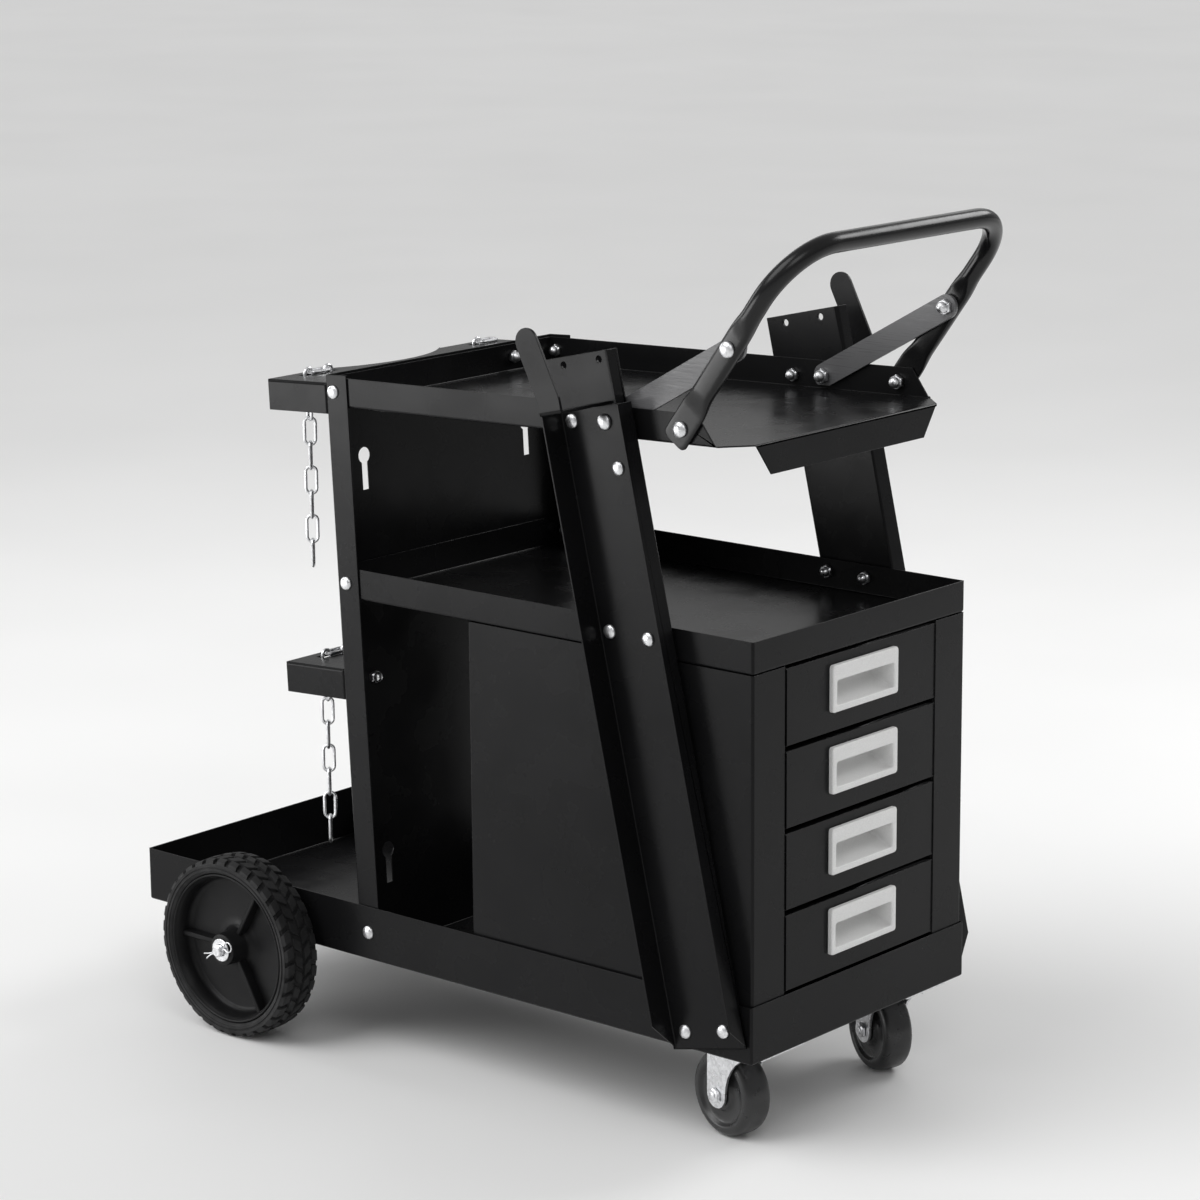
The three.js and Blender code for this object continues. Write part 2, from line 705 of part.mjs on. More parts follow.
// Drawers: a flush front and an open box, each on its own ledges.
const drawerBoxHalf = openingHalf - drawerBoxGap;
const drawerBack = drawerBackRoom - cabinetDepth;
const drawerWall = drawerPitch - drawerGap - drawerFloorRaise - drawerHeadroom;
const drawerLevel = (index) => baseRimZ + (drawerCount - 1 - index) * drawerPitch;
const pocketHalf = pullWidth / 2 - pullBorder;
const pocketLow = pullBorder - pullHeight / 2;
const pocketHigh = pullHeight / 2 - pullTopBand;
const cutMargin = pullWall + pullCutGap;
const cutHalf = pocketHalf + cutMargin;
for (let index = 0; index < drawerCount; index++) {
  const low = drawerLevel(index) + drawerGap / 2;
  const high = low + drawerPitch - drawerGap;
  const pullLevel = (low + high) / 2 + pullRaise;
  const [cutLow, cutHigh] = [pullLevel + pocketLow - cutMargin, pullLevel + pocketHigh + cutMargin];
  const frontHalf = openingHalf - drawerSideGap;
  const front = block(-sheet, 0, -frontHalf, frontHalf, low, high);
  const box = openTray(drawerBack, -sheet / 2, drawerBoxHalf, low + drawerFloorRaise, drawerWall);
  const mouth = block(-3 * sheet, sheet, -cutHalf, cutHalf, cutLow, cutHigh);
  piece(`drawer_${index + 1}`, cut(join(front, box), mouth), powderCoat);
  piece(`drawer_pull_${index + 1}`, pullGeometry(pullLevel), silver);
}

// A pull: a bezel with a broad upper band round a pocket whose floor slopes up to its back.
function pullGeometry(level) {
  const [halfWidth, halfHeight] = [pullWidth / 2, pullHeight / 2];
  const face = seat + pullThickness;
  const bezel = block(seat, face, -halfWidth, halfWidth, -halfHeight, halfHeight);
  const wall = pullWall;
  const shell = outline([
    [seat, pocketLow - wall],
    [seat, pocketHigh + wall],
    [-pullPocketDepth - wall, pocketHigh + wall],
    [-pullPocketDepth - wall, pocketHigh - pullPocketBack - wall],
  ]);
  const hollow = outline([
    [face + seat, pocketLow],
    [face + seat, pocketHigh],
    [-pullPocketDepth, pocketHigh],
    [-pullPocketDepth, pocketHigh - pullPocketBack],
    [seat, pocketLow],
  ]);
  const body = join(bezel, plateXZ(shell, -pocketHalf - wall, 2 * (pocketHalf + wall)));
  return cut(body, plateXZ(hollow, -pocketHalf, 2 * pocketHalf)).translate(0, 0, level);
}

// Runner racks: upright plates behind the stiles with a ledge under each drawer.
function rackGeometry() {
  const inner = drawerBoxHalf + runnerGap;
  const rear = -cabinetDepth + sheet + seat;
  const front = -sheet - seat;
  const plate = block(rear, front, inner, inner + sheet, cabinetLow, cabinetHigh);
  const ledges = Array.from({ length: drawerCount }, (_, index) => {
    const top = drawerLevel(index) + drawerGap / 2 + drawerFloorRaise - seat;
    return block(rear, front, inner - runnerLedge, inner + sheet / 2, top - sheet, top);
  });
  return join(plate, ...ledges);
}
pair("runner_rack", rackGeometry(), powderCoat);

// Rear axle: a straight rod under the base in two saddles.
const axleX = baseRearX + axleFromRear;
const wheelInner = baseOuter + wheelGap;
const wheelOuter = wheelInner + tyreWidth;
const hubOuter = wheelOuter + hubStandOut;
const washerOuter = hubOuter + seat + washerThickness;
const cotterY = washerOuter + cotterGap + cotterWire / 2;
const axleHalf = cotterY + axleEnd;
const axle = rodY(axleX, wheelRadius, axleDiameter / 2, -axleHalf, axleHalf, axleSides);
const cotterBore = cotterWire / 2 + seat;
const cotterHole = (side) => {
  const bore = rodZ(0, 0, cotterBore, -axleDiameter, axleDiameter, wireSides);
  return bore.rotateY(radians(cotterTurn)).translate(axleX, side * cotterY, wheelRadius);
};
piece("rear_axle", cut(axle, cotterHole(1), cotterHole(-1)), zinc);

const saddleHigh = baseZ - seat;
const saddleSide = baseOuter - saddleInset;
const saddleLow = wheelRadius - axleDiameter / 2 - axleRoom - saddleWall;
const saddleBlock = block(
  axleX - saddleLength / 2,
  axleX + saddleLength / 2,
  saddleSide - saddleWidth / 2,
  saddleSide + saddleWidth / 2,
  saddleLow,
  saddleHigh,
);
const axleBore = rodY(axleX, wheelRadius, axleDiameter / 2 + axleRoom, 0, hookOuter, axleSides);
pair("axle_saddle", cut(saddleBlock, axleBore), powderCoat);

// Rear wheels: a dished plastic rim with radial ribs inside a rubber tyre.
const rimOuter = wheelRadius - tyreHeight;
const wheelMiddle = (wheelInner + wheelOuter) / 2;
function rimGeometry() {
  const bore = axleDiameter / 2 + axleRoom;
  const edgeIn = wheelInner + rimEdgeInset - wheelMiddle;
  const edgeOut = wheelOuter - rimEdgeInset - wheelMiddle;
  const web = edgeOut - rimDish;
  const bed = rimOuter - rimBed;
  const profile = [
    [bore, edgeIn],
    [hubRadius, edgeIn],
    [hubRadius, web - rimWeb],
    [bed, web - rimWeb],
    [bed, edgeIn],
    [rimOuter, edgeIn],
    [rimOuter, edgeOut],
    [bed, edgeOut],
    [bed - rimFillet, web],
    [hubRadius + rimFillet, web],
    [hubRadius, hubOuter - wheelMiddle],
    [bore, hubOuter - wheelMiddle],
    [bore, edgeIn],
  ];
  const ribs = Array.from({ length: rimRibs }, (_, i) => {
    const half = rimRibWidth / 2;
    const rib = block(hubRadius, bed, web - rimWeb / 2, web + rimRibHeight, -half, half);
    return rib.rotateY((i * 2 * Math.PI) / rimRibs + Math.PI / 3);
  });
  return join(turned(profile, rimSides), ...ribs);
}
function tyreGeometry() {
  const half = tyreWidth / 2;
  const inside = rimOuter + seat;
  const flank = [
    [inside, half - tyreBeadInset],
    [inside + tyreBeadRise, half],
    [wheelRadius - tyreShoulder, half],
    [wheelRadius - tyreCrown, half - tyreShoulderIn],
    [wheelRadius, half - tyreCrownIn],
  ];
  const profile = [...flank, ...flank.map(([r, y]) => [r, -y]).reverse(), flank[0]];
  return turned(profile, tyreSides);
}
const onAxle = (y) => (mesh) => {
  mesh.position.set(axleX, y, wheelRadius);
  return mesh;
};
pair("rear_rim", rimGeometry(), darkPlastic, onAxle(wheelMiddle));
pair("rear_tyre", tyreGeometry(), rubber, onAxle(wheelMiddle));
const washerBore = axleDiameter / 2 + axleRoom;
const washerProfile = [
  [washerBore, 0],
  [washerRadius, 0],
  [washerRadius, washerThickness],
  [washerBore, washerThickness],
  [washerBore, 0],
];
pair("axle_washer", turned(washerProfile, axleSides), zinc, onAxle(hubOuter + seat));

// Cotter pins: straight legs through the axle under a round eye, turned with the eye to the front.
function cotterGeometry() {
  const wire = cotterWire / 2;
  const legs = rodZ(0, 0, wire, -cotterLength / 2, cotterLength / 2, wireSides);
  const eye = new THREE.TorusGeometry(cotterEye - wire, wire, wireSides, holeSides).rotateX(Math.PI / 2);
  const pin = join(legs, eye.translate(0, 0, cotterLength / 2 + cotterEye - 2 * wire));
  return pin.rotateY(radians(cotterTurn));
}
pair("cotter_pin", cotterGeometry(), zinc, onAxle(cotterY));

// Casters: a plate under the base, a fork that turns on its pin, and a trailing wheel.
const casterX = baseFrontX - casterSetback;
const casterSide = baseOuter - casterInset;
const casterPlateHigh = baseZ - seat;
const casterPlateLow = casterPlateHigh - casterPlateSheet;
const crownHigh = casterPlateLow - casterRace - seat;
const crownLow = crownHigh - casterForkSheet;
const legInner = casterWidth / 2 + casterForkRoom;
const legOuter = legInner + casterForkSheet;
function casterPlateGeometry() {
  const [halfX, halfY] = [casterPlateLength / 2, casterPlateWidth / 2];
  const flat = block(-halfX, halfX, -halfY, halfY, casterPlateLow, casterPlateHigh);
  const race = rodZ(0, 0, casterRaceRadius, casterPlateLow - casterRace, casterPlateHigh, casterSides);
  const pin = rodZ(0, 0, casterKingpin, crownLow - casterKingpinEnd, casterPlateLow);
  return join(flat, race, pin);
}
// A fork: a crown under the race and two legs, straight behind and hollowed in front, with round eyes.
const forkRear = -casterTrail - casterForkEye;
const forkFront = forkRear + casterForkTop;
function forkGeometry() {
  const leg = new THREE.Shape();
  leg.moveTo(forkRear, crownHigh);
  leg.lineTo(forkRear, casterRadius);
  leg.absarc(-casterTrail, casterRadius, casterForkEye, Math.PI, 2 * Math.PI);
  leg.quadraticCurveTo(casterForkEye - casterTrail, casterRadius + casterForkWaist, forkFront, crownHigh);
  leg.closePath();
  const crown = block(forkRear, forkFront, -legOuter, legOuter, crownLow, crownHigh);
  const legs = [legInner, -legOuter].map((y) => plateXZ(leg, y, casterForkSheet));
  const kingpinHole = rodZ(0, 0, casterKingpin + seat, 0, baseZ);
  const axleHole = rodY(-casterTrail, casterRadius, casterAxle + seat, -hookOuter, hookOuter, holeSides);
  return cut(join(crown, ...legs), kingpinHole, axleHole);
}
function casterWheelGeometry() {
  const half = casterWidth / 2;
  const bore = casterAxle + seat;
  const flank = [
    [bore, half],
    [casterHub, half],
    [casterHub + casterDish, half - casterDish],
    [casterDishRadius, half - casterDish],
    [casterDishRadius + casterDish, half],
    [casterRadius - casterEdge, half],
    [casterRadius - casterCrown, half - casterEdge],
  ];
  const profile = [...flank, [casterRadius, 0], ...flank.map(([r, y]) => [r, -y]).reverse(), flank[0]];
  return turned(profile, casterSides);
}
function casterAxleGeometry() {
  const end = legOuter + seat;
  const profile = [
    [0, -end - casterNutHeight],
    [casterNut, -end - casterNutHeight],
    [casterNut, -end],
    [casterAxle, -end],
    [casterAxle, end],
    [casterNut, end],
    [casterCap, end + casterCapHeight],
    [0, end + casterCapHeight],
  ];
  return turned(profile, holeSides);
}
for (const [side, name, swivel] of [[1, "left", casterSwivelLeft], [-1, "right", casterSwivelRight]]) {
  const mount = new THREE.Group();
  mount.position.set(casterX, side * casterSide, 0);
  const turn = new THREE.Group();
  turn.rotation.z = radians(swivel);
  mount.add(turn);
  cart.add(mount);
  piece(`caster_plate_${name}`, casterPlateGeometry(), zinc, mount);
  piece(`caster_fork_${name}`, forkGeometry(), zinc, turn);
  const wheel = new THREE.Group();
  wheel.position.set(-casterTrail, 0, casterRadius);
  turn.add(wheel);
  piece(`caster_wheel_${name}`, casterWheelGeometry(), rubber, wheel);
  piece(`caster_axle_${name}`, casterAxleGeometry(), zinc, wheel);
}

// The origin lies on the floor under the middle of the cart's length.
const extent = new THREE.Box3().setFromObject(cart, true);
cart.position.x = -(extent.min.x + extent.max.x) / 2;
const weldingCart = new THREE.Group();
weldingCart.add(cart);

export default weldingCart;
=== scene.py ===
"""A welding cart in folded sheet steel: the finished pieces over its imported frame, and a plain studio."""
import json
import math

import bmesh
import bpy
from bpy.props import FloatProperty, FloatVectorProperty, IntProperty, PointerProperty
from bpy.types import Operator, Panel, PropertyGroup
from mathutils import Matrix, Vector


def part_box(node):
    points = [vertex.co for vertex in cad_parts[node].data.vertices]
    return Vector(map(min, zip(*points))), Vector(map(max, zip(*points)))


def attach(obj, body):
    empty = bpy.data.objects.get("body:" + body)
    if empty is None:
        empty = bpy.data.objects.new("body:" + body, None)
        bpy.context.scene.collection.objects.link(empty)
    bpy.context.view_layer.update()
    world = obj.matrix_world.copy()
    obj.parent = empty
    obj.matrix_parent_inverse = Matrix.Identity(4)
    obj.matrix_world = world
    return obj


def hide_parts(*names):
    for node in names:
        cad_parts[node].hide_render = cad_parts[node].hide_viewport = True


bl_info = {
    "name": "Welding cart",
    "version": (1, 0, 0),
    "blender": (4, 5, 0),
    "location": "View3D > Sidebar > Cart",
    "description": "Makes the sheet, wheels, chains and fasteners of a welding cart over its frame",
    "category": "Object",
}

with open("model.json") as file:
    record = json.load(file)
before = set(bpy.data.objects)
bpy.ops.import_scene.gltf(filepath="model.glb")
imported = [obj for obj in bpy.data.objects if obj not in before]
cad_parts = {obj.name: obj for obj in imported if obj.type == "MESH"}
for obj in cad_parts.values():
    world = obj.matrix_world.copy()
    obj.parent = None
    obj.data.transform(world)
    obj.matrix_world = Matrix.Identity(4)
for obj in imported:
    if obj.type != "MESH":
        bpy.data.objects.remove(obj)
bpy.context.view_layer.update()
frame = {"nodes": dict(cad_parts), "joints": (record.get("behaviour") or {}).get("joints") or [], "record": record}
RECORD = frame["record"]
BODY_OF = {node: body for body, nodes in RECORD["behaviour"]["bodies"].items() for node in nodes}
JOINTS = {joint["name"]: joint for joint in frame["joints"]}

MM = 0.001
SIDES = {"left": 1, "right": -1}
LEVELS = ("upper", "lower")
DRAWERS = range(1, 5)
X = Vector((1, 0, 0))
Y = Vector((0, 1, 0))
Z = Vector((0, 0, 1))

# How near two points are one point, and which angles count as flat or as a crease
WELD = 0.002 * MM
FLAT = math.radians(1.0)
CREASE = math.radians(35)
FOLD_SPAN = (1.1, 1.7)
BEVEL_STEPS = 4


def size(name, description, millimetres):
    """A length that a user would change."""
    return FloatProperty(name=name, description=description, default=millimetres * MM, unit="LENGTH", precision=5)


def tint(name, description, colour):
    """A colour that a user would change."""
    return FloatVectorProperty(name=name, description=description, default=colour, subtype="COLOR", min=0, max=1)


class CartSheet(PropertyGroup):
    """Thicknesses and edge forms of the folded sheet."""

    inside: size("Inside radius", "Inner radius of a sheet fold", 1.0)
    edge: size("Edge break", "Rounding of a cut sheet edge", 0.3)
    returns: size("Drawer returns", "Depth of the folds along a drawer front's top and bottom", 9)
    tray: size("Tray sheet", "Sheet of the trays, cabinet, panel and drawers", 1.2)
    channel: size("Channel sheet", "Sheet of the side channels", 1.5)
    hook: size("Hook sheet", "Sheet of the cable hooks", 2.5)
    bracket: size("Bracket sheet", "Sheet of the cylinder brackets", 2.0)


class CartHardware(PropertyGroup):
    """Bolts, nuts, chain and pins."""

    head: size("Bolt head", "Diameter of a dome head", 13)
    dome: size("Dome height", "Height of a dome head", 4)
    shank: size("Bolt shank", "Diameter of a bolt's thread", 6)
    nut: size("Cap nut", "Width of a cap nut across its flats", 11.2)
    nut_height: size("Cap nut height", "Height of a cap nut", 10)
    small_head: size("Small bolt head", "Diameter of the heads on the sides", 11.5)
    small_dome: size("Small dome height", "Height of the heads on the sides", 3)
    small_nut: size("Small cap nut", "Width across the flats of the cap nuts inside", 10)
    small_nut_height: size("Small cap nut height", "Height of the cap nuts inside", 9)
    chain_lap: size("Chain lap", "How far a link reaches into the next", 0.6)
    upper_slack: FloatProperty(name="Upper slack", description="Upper sling's length over its span", default=1.15)
    lower_slack: FloatProperty(name="Lower slack", description="Lower sling's length over its span", default=1.66)


class CartHandle(PropertyGroup):
    """The bent tube, pressed beside its braces and flattened to feet."""

    tube: size("Tube", "Outer diameter of the handle's tube", 16)
    bend: size("Bend radius", "Radius of the two upper bends", 50)
    seat: size("Seat", "Room between a leg and what it is bolted to", 0.3)
    foot_width: size("Foot width", "Width of a flattened foot", 24)
    foot_thickness: size("Foot thickness", "Thickness of a flattened foot", 3)
    foot_end: size("Foot end", "Length of a foot past its bolt", 13)
    foot_corner: size("Foot corner", "Rounding of a foot's corners", 4)
    flat: size("Flat length", "Length of the flat above the foot's bolt", 18)
    flat_swell: size("Flat swell", "Length over which the foot grows into the pressed leg", 20)
    press_width: size("Pressed width", "Width of the leg beside its brace", 19)
    press_thickness: size("Pressed thickness", "Thickness of the leg beside its brace", 8)
    press_end: size("Pressed length", "Where the pressed leg ends above the foot's bolt", 94)
    press_swell: size("Pressed swell", "Length over which the pressed leg grows into the tube", 22)


class CartWheels(PropertyGroup):
    """Rear tyres and rims."""

    pitches: IntProperty(name="Tread pitches", description="Tread blocks round a tyre", default=34)
    tread: size("Tread depth", "Depth of the tread's grooves", 2.6)
    groove: FloatProperty(name="Groove share", description="Groove's share of a tread pitch", default=0.28)
    hub: size("Hub radius", "Radius of the rim's hub", 14)
    bore: size("Bore radius", "Radius of the rim's bore", 5.3)
    dish: size("Rim dish", "Depth of the rim's dish under its lip", 16)
    rib_width: size("Rib width", "Width of a rim's rib at its foot", 7)
    rib_height: size("Rib height", "Height of a rim's rib over the web", 8)


class CartFinishes(PropertyGroup):
    """Colours of the finishes, in linear light."""

    coat: tint("Powder coat", "Satin black powder coat", (0.006, 0.006, 0.0064))
    brace: tint("Brace grey", "Dark grey plate of the braces", (0.095, 0.095, 0.098))
    enamel: tint("Tube enamel", "Gloss black of the handle", (0.005, 0.005, 0.0053))
    zinc: tint("Zinc", "Bright zinc plate", (0.78, 0.785, 0.8))
    silver: tint("Pull silver", "Silver-grey plastic of the pulls", (0.75, 0.75, 0.745))
    rubber: tint("Tyre rubber", "Black rubber", (0.012, 0.012, 0.0124))
    caster: tint("Caster rubber", "Caster tread", (0.014, 0.014, 0.0145))
    plastic: tint("Rim plastic", "Moulded black plastic of the rims", (0.006, 0.006, 0.0064))
    floor: tint("Floor", "Pale studio floor", (0.86, 0.86, 0.857))


class CartStage(PropertyGroup):
    """The camera at the photograph's place, and the light."""

    azimuth: FloatProperty(name="Azimuth", default=math.radians(40.672), subtype="ANGLE",
                           description="Camera's bearing, from the right side towards the front")
    elevation: FloatProperty(name="Elevation", default=math.radians(12.851), subtype="ANGLE",
                             description="Camera's height over the horizon")
    roll: FloatProperty(name="Roll", default=math.radians(-0.46), subtype="ANGLE",
                        description="Camera's turn about its own axis")
    distance: size("Distance", "From the camera to its target", 3040)
    aim_x: size("Aim X", "Target's place along the cart", 46.81)
    aim_z: size("Aim Z", "Target's height", 391.56)
    lens: FloatProperty(name="Lens", description="Focal length in millimetres", default=109.4)
    key: FloatProperty(name="Key light", description="Strength of the broad key light", default=1.5)
    key_spread: FloatProperty(name="Key spread", default=math.radians(45), subtype="ANGLE",
                              description="How wide the key light's source looks")
    left: FloatProperty(name="Left light", description="Power of the light on the left", default=22, unit="POWER")
    back: FloatProperty(name="Back light", description="Power of the light behind", default=4, unit="POWER")
    side: FloatProperty(name="Side light", description="Power of the low light on the right", default=18, unit="POWER")
    rear: FloatProperty(name="Rear light", description="Power of the tall light behind", default=8, unit="POWER")
    front: FloatProperty(name="Front light", description="Power of the light before the cart", default=8, unit="POWER")
    horizon: FloatProperty(name="Horizon", description="Strength of the surround at the horizon", default=0.27)
    zenith: FloatProperty(name="Zenith", description="Strength of the surround overhead", default=0.45)


class CartSettings(PropertyGroup):
    """All settings of the cart."""

    sheet: PointerProperty(type=CartSheet)
    hardware: PointerProperty(type=CartHardware)
    handle: PointerProperty(type=CartHandle)
    wheels: PointerProperty(type=CartWheels)
    finishes: PointerProperty(type=CartFinishes)
    stage: PointerProperty(type=CartStage)


class Finish:
    """A procedural finish: noise on the piece's own coordinates drives colour, roughness and bump."""

    def __init__(self, roughness, metallic=0.0):
        self.material = bpy.data.materials.new("finish")
        self.material.use_nodes = True
        self.tree = self.material.node_tree
        self.shader = self.tree.nodes["Principled BSDF"]
        self.shader.inputs["Roughness"].default_value = roughness
        self.shader.inputs["Metallic"].default_value = metallic
        self.place = self.node("ShaderNodeTexCoord").outputs["Object"]
        self.normal = None

    def node(self, kind, links=(), **inputs):
        made = self.tree.nodes.new(kind)
        for socket, value in inputs.items():
            made.inputs[socket].default_value = value
        for socket, source in dict(links).items():
            self.tree.links.new(source, made.inputs[socket])
        return made

    def stretched(self, scale):
        """Coordinates drawn out along an axis, for brushed or rolled marks."""
        return self.node("ShaderNodeMapping", {"Vector": self.place}, Scale=scale).outputs["Vector"]

    def noise(self, scale, detail=3.0, place=None):
        made = self.node("ShaderNodeTexNoise", {"Vector": place or self.place}, Scale=scale, Detail=detail)
        return made.outputs["Fac"]

    def cells(self, scale):
        return self.node("ShaderNodeTexVoronoi", {"Vector": self.place}, Scale=scale).outputs["Color"]

    def between(self, source, low, high, start=0.35, end=0.65):
        """A value spread from low to high over the middle of a noise."""
        made = self.node("ShaderNodeMapRange", {"Value": source})
        for socket, value in (("From Min", start), ("From Max", end), ("To Min", low), ("To Max", high)):
            made.inputs[socket].default_value = value
        return made.outputs["Result"]

    def colour(self, source, dark, light):
        made = self.node("ShaderNodeMix", {"Factor": source})
        made.data_type = "RGBA"
        made.inputs[6].default_value = (*dark, 1)
        made.inputs[7].default_value = (*light, 1)
        self.tree.links.new(made.outputs[2], self.shader.inputs["Base Color"])
        return self

    def rough(self, source):
        self.tree.links.new(source, self.shader.inputs["Roughness"])
        return self

    def bump(self, source, strength, depth):
        links = {"Height": source}
        if self.normal:
            links["Normal"] = self.normal
        made = self.node("ShaderNodeBump", links, Strength=strength, Distance=depth)
        self.normal = made.outputs["Normal"]
        self.tree.links.new(self.normal, self.shader.inputs["Normal"])
        return self

    def set(self, **values):
        for socket, value in values.items():
            self.shader.inputs[socket.replace("_", " ")].default_value = value
        return self


def shade(colour, factor):
    return tuple(min(1.0, channel * factor) for channel in colour)


def powder_coat(colour):
    """Satin powder coat: fine orange peel, faint clouds and a few dusty grains."""
    finish = Finish(0.32)
    finish.colour(finish.between(finish.noise(7, 5), 0, 1), shade(colour, 0.82), shade(colour, 1.25))
    finish.rough(finish.between(finish.noise(24, 6), 0.21, 0.31))
    finish.bump(finish.noise(1500, 2), 0.10, 0.12 * MM)
    finish.bump(finish.noise(420, 1), 0.06, 0.2 * MM)
    return finish.set(Specular_IOR_Level=0.13).material


def brace_plate(colour):
    """Dark grey plating with rolling marks along the bar."""
    finish = Finish(0.3)
    drawn = finish.stretched((30, 30, 900))
    finish.colour(finish.between(finish.noise(9, 4), 0, 1), shade(colour, 0.85), shade(colour, 1.2))
    finish.rough(finish.between(finish.noise(1, 4, drawn), 0.24, 0.38))
    finish.bump(finish.noise(900, 2), 0.08, 0.1 * MM)
    return finish.material


def tube_enamel(colour):
    """Gloss enamel with a slight long-wave peel."""
    finish = Finish(0.22)
    finish.colour(finish.between(finish.noise(12, 4), 0, 1), shade(colour, 0.8), shade(colour, 1.3))
    finish.rough(finish.between(finish.noise(40, 5), 0.18, 0.27))
    finish.bump(finish.noise(320, 1), 0.05, 0.15 * MM)
    return finish.set(Specular_IOR_Level=0.3).material


def zinc_plate(colour):
    """Bright zinc: small spangle cells, fine scratches and cloudy patches."""
    finish = Finish(0.28, 1.0)
    spangle = finish.between(finish.cells(420), 0, 1, 0.1, 0.9)
    finish.colour(spangle, shade(colour, 0.82), shade(colour, 1.1))
    finish.rough(finish.between(finish.noise(160, 5), 0.26, 0.42))
    finish.bump(finish.noise(700, 3), 0.08, 0.1 * MM)
    return finish.material


def pull_plastic(colour):
    """Silver-grey moulded plastic with a fine metallic grain."""
    finish = Finish(0.42)
    finish.colour(finish.between(finish.noise(2600, 2), 0, 1), shade(colour, 0.88), shade(colour, 1.12))
    finish.rough(finish.between(finish.noise(60, 4), 0.36, 0.48))
    finish.bump(finish.noise(1900, 2), 0.08, 0.08 * MM)
    return finish.material


def tyre_rubber(colour):
    """Matt rubber with a dusty bloom and a grainy skin."""
    finish = Finish(0.74)
    finish.colour(finish.between(finish.noise(30, 6), 0, 1), shade(colour, 0.75), shade(colour, 1.6))
    finish.rough(finish.between(finish.noise(90, 5), 0.6, 0.82))
    finish.bump(finish.noise(1100, 3), 0.2, 0.2 * MM)
    return finish.set(Specular_IOR_Level=0.3).material


def caster_rubber(colour):
    """Smooth moulded rubber with faint scuffs round the tread."""
    finish = Finish(0.34)
    finish.colour(finish.between(finish.noise(45, 6), 0, 1), shade(colour, 0.8), shade(colour, 1.5))
    finish.rough(finish.between(finish.noise(120, 5), 0.26, 0.4))
    finish.bump(finish.noise(900, 3), 0.12, 0.15 * MM)
    return finish.material


def rim_plastic(colour):
    """Moulded black plastic with a fine satin grain."""
    finish = Finish(0.4)
    finish.colour(finish.between(finish.noise(18, 4), 0, 1), shade(colour, 0.85), shade(colour, 1.3))
    finish.rough(finish.between(finish.noise(70, 5), 0.33, 0.46))
    finish.bump(finish.noise(1700, 2), 0.12, 0.08 * MM)
    return finish.set(Specular_IOR_Level=0.15).material


def studio_floor(colour):
    """Pale seamless floor with the faintest unevenness."""
    finish = Finish(0.6)
    finish.colour(finish.between(finish.noise(0.8, 3), 0, 1), shade(colour, 0.985), shade(colour, 1.015))
    finish.rough(finish.between(finish.noise(3, 3), 0.55, 0.65))
    return finish.material


FINISHES = {
    "coat": powder_coat,
    "brace": brace_plate,
    "enamel": tube_enamel,
    "zinc": zinc_plate,
    "silver": pull_plastic,
    "rubber": tyre_rubber,
    "caster": caster_rubber,
    "plastic": rim_plastic,
    "floor": studio_floor,
}


def finish_of(context, name):
    """The named finish, made from its colour when it is first asked for."""
    label = f"cart_{name}_finish"
    made = bpy.data.materials.get(label)
    if made is None:
        made = FINISHES[name](tuple(getattr(context.scene.cart.finishes, name)))
        made.name = label
    return made


def make_piece(name, bm, finish, node=None, body=None, folded=False):
    """A finished piece from a bmesh: it rides on its node's body and stands for that node."""
    if not folded:
        bmesh.ops.recalc_face_normals(bm, faces=bm.faces)
    mesh = bpy.data.meshes.new(name)
    bm.to_mesh(mesh)
    bm.free()
    mesh.shade_smooth()
    if not folded:
        mesh.set_sharp_from_angle(angle=CREASE)
    mesh.materials.append(finish)
    piece = bpy.data.objects.new(name, mesh)
    bpy.context.scene.collection.objects.link(piece)
    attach(piece, body or BODY_OF[node])
    if node:
        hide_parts(node)
    return piece


def middle(edge):
    return (edge.verts[0].co + edge.verts[1].co) / 2


def direction(edge):
    return (edge.verts[1].co - edge.verts[0].co).normalized()


def folds_round(outer, inner, thickness):
    """Whether two edges are the outside and the inside of one sheet fold."""
    along = direction(outer)
    if abs(along.dot(direction(inner))) < math.cos(FLAT):
        return False
    gap = middle(inner) - middle(outer)
    lengthways = along * gap.dot(along)
    aside = (gap - lengthways).length
    beside = lengthways.length < (outer.calc_length() + inner.calc_length()) / 2
    return beside and FOLD_SPAN[0] * thickness < aside < FOLD_SPAN[1] * thickness


def merge_flats(bm):
    bmesh.ops.dissolve_limit(bm, angle_limit=FLAT, verts=bm.verts, edges=bm.edges)


def turn_back(bm, thickness, depth):
    """Turns the top and bottom edges of a drawer's front back over its box."""
    heights = [v.co.z for v in bm.verts]
    behind = max(v.co.x for v in bm.verts) - thickness
    for level, up in ((max(heights), 1), (min(heights), -1)):
        cut = Z * (level - up * thickness)
        cut_across(bm, cut, Z)
        strips = []
        for face in bm.faces:
            centre = face.calc_center_median()
            if abs(centre.x - behind) < WELD and (centre.z - cut.z) * up > 0:
                strips.append(face)
        made = bmesh.ops.extrude_face_region(bm, geom=strips)["geom"]
        moved = [part for part in made if isinstance(part, bmesh.types.BMVert)]
        bmesh.ops.translate(bm, verts=moved, vec=X * (thickness - depth))
    merge_flats(bm)


def split_round_mouth(bm):
    """Splits a drawer along the sides of its front's opening, so that no face runs round it."""
    front = max(v.co.x for v in bm.verts)
    corners = [v.co.copy() for v in bm.verts if abs(v.co.x - front) < WELD]
    for number, normal in ((1, Y), (2, Z)):
        levels = sorted({round(corner[number], 5) for corner in corners})
        for level in levels[1:-1]:
            cut_across(bm, normal * level, normal)


def cut_across(bm, point, normal):
    everything = bm.verts[:] + bm.edges[:] + bm.faces[:]
    bmesh.ops.bisect_plane(bm, geom=everything, plane_co=point, plane_no=normal, dist=WELD)


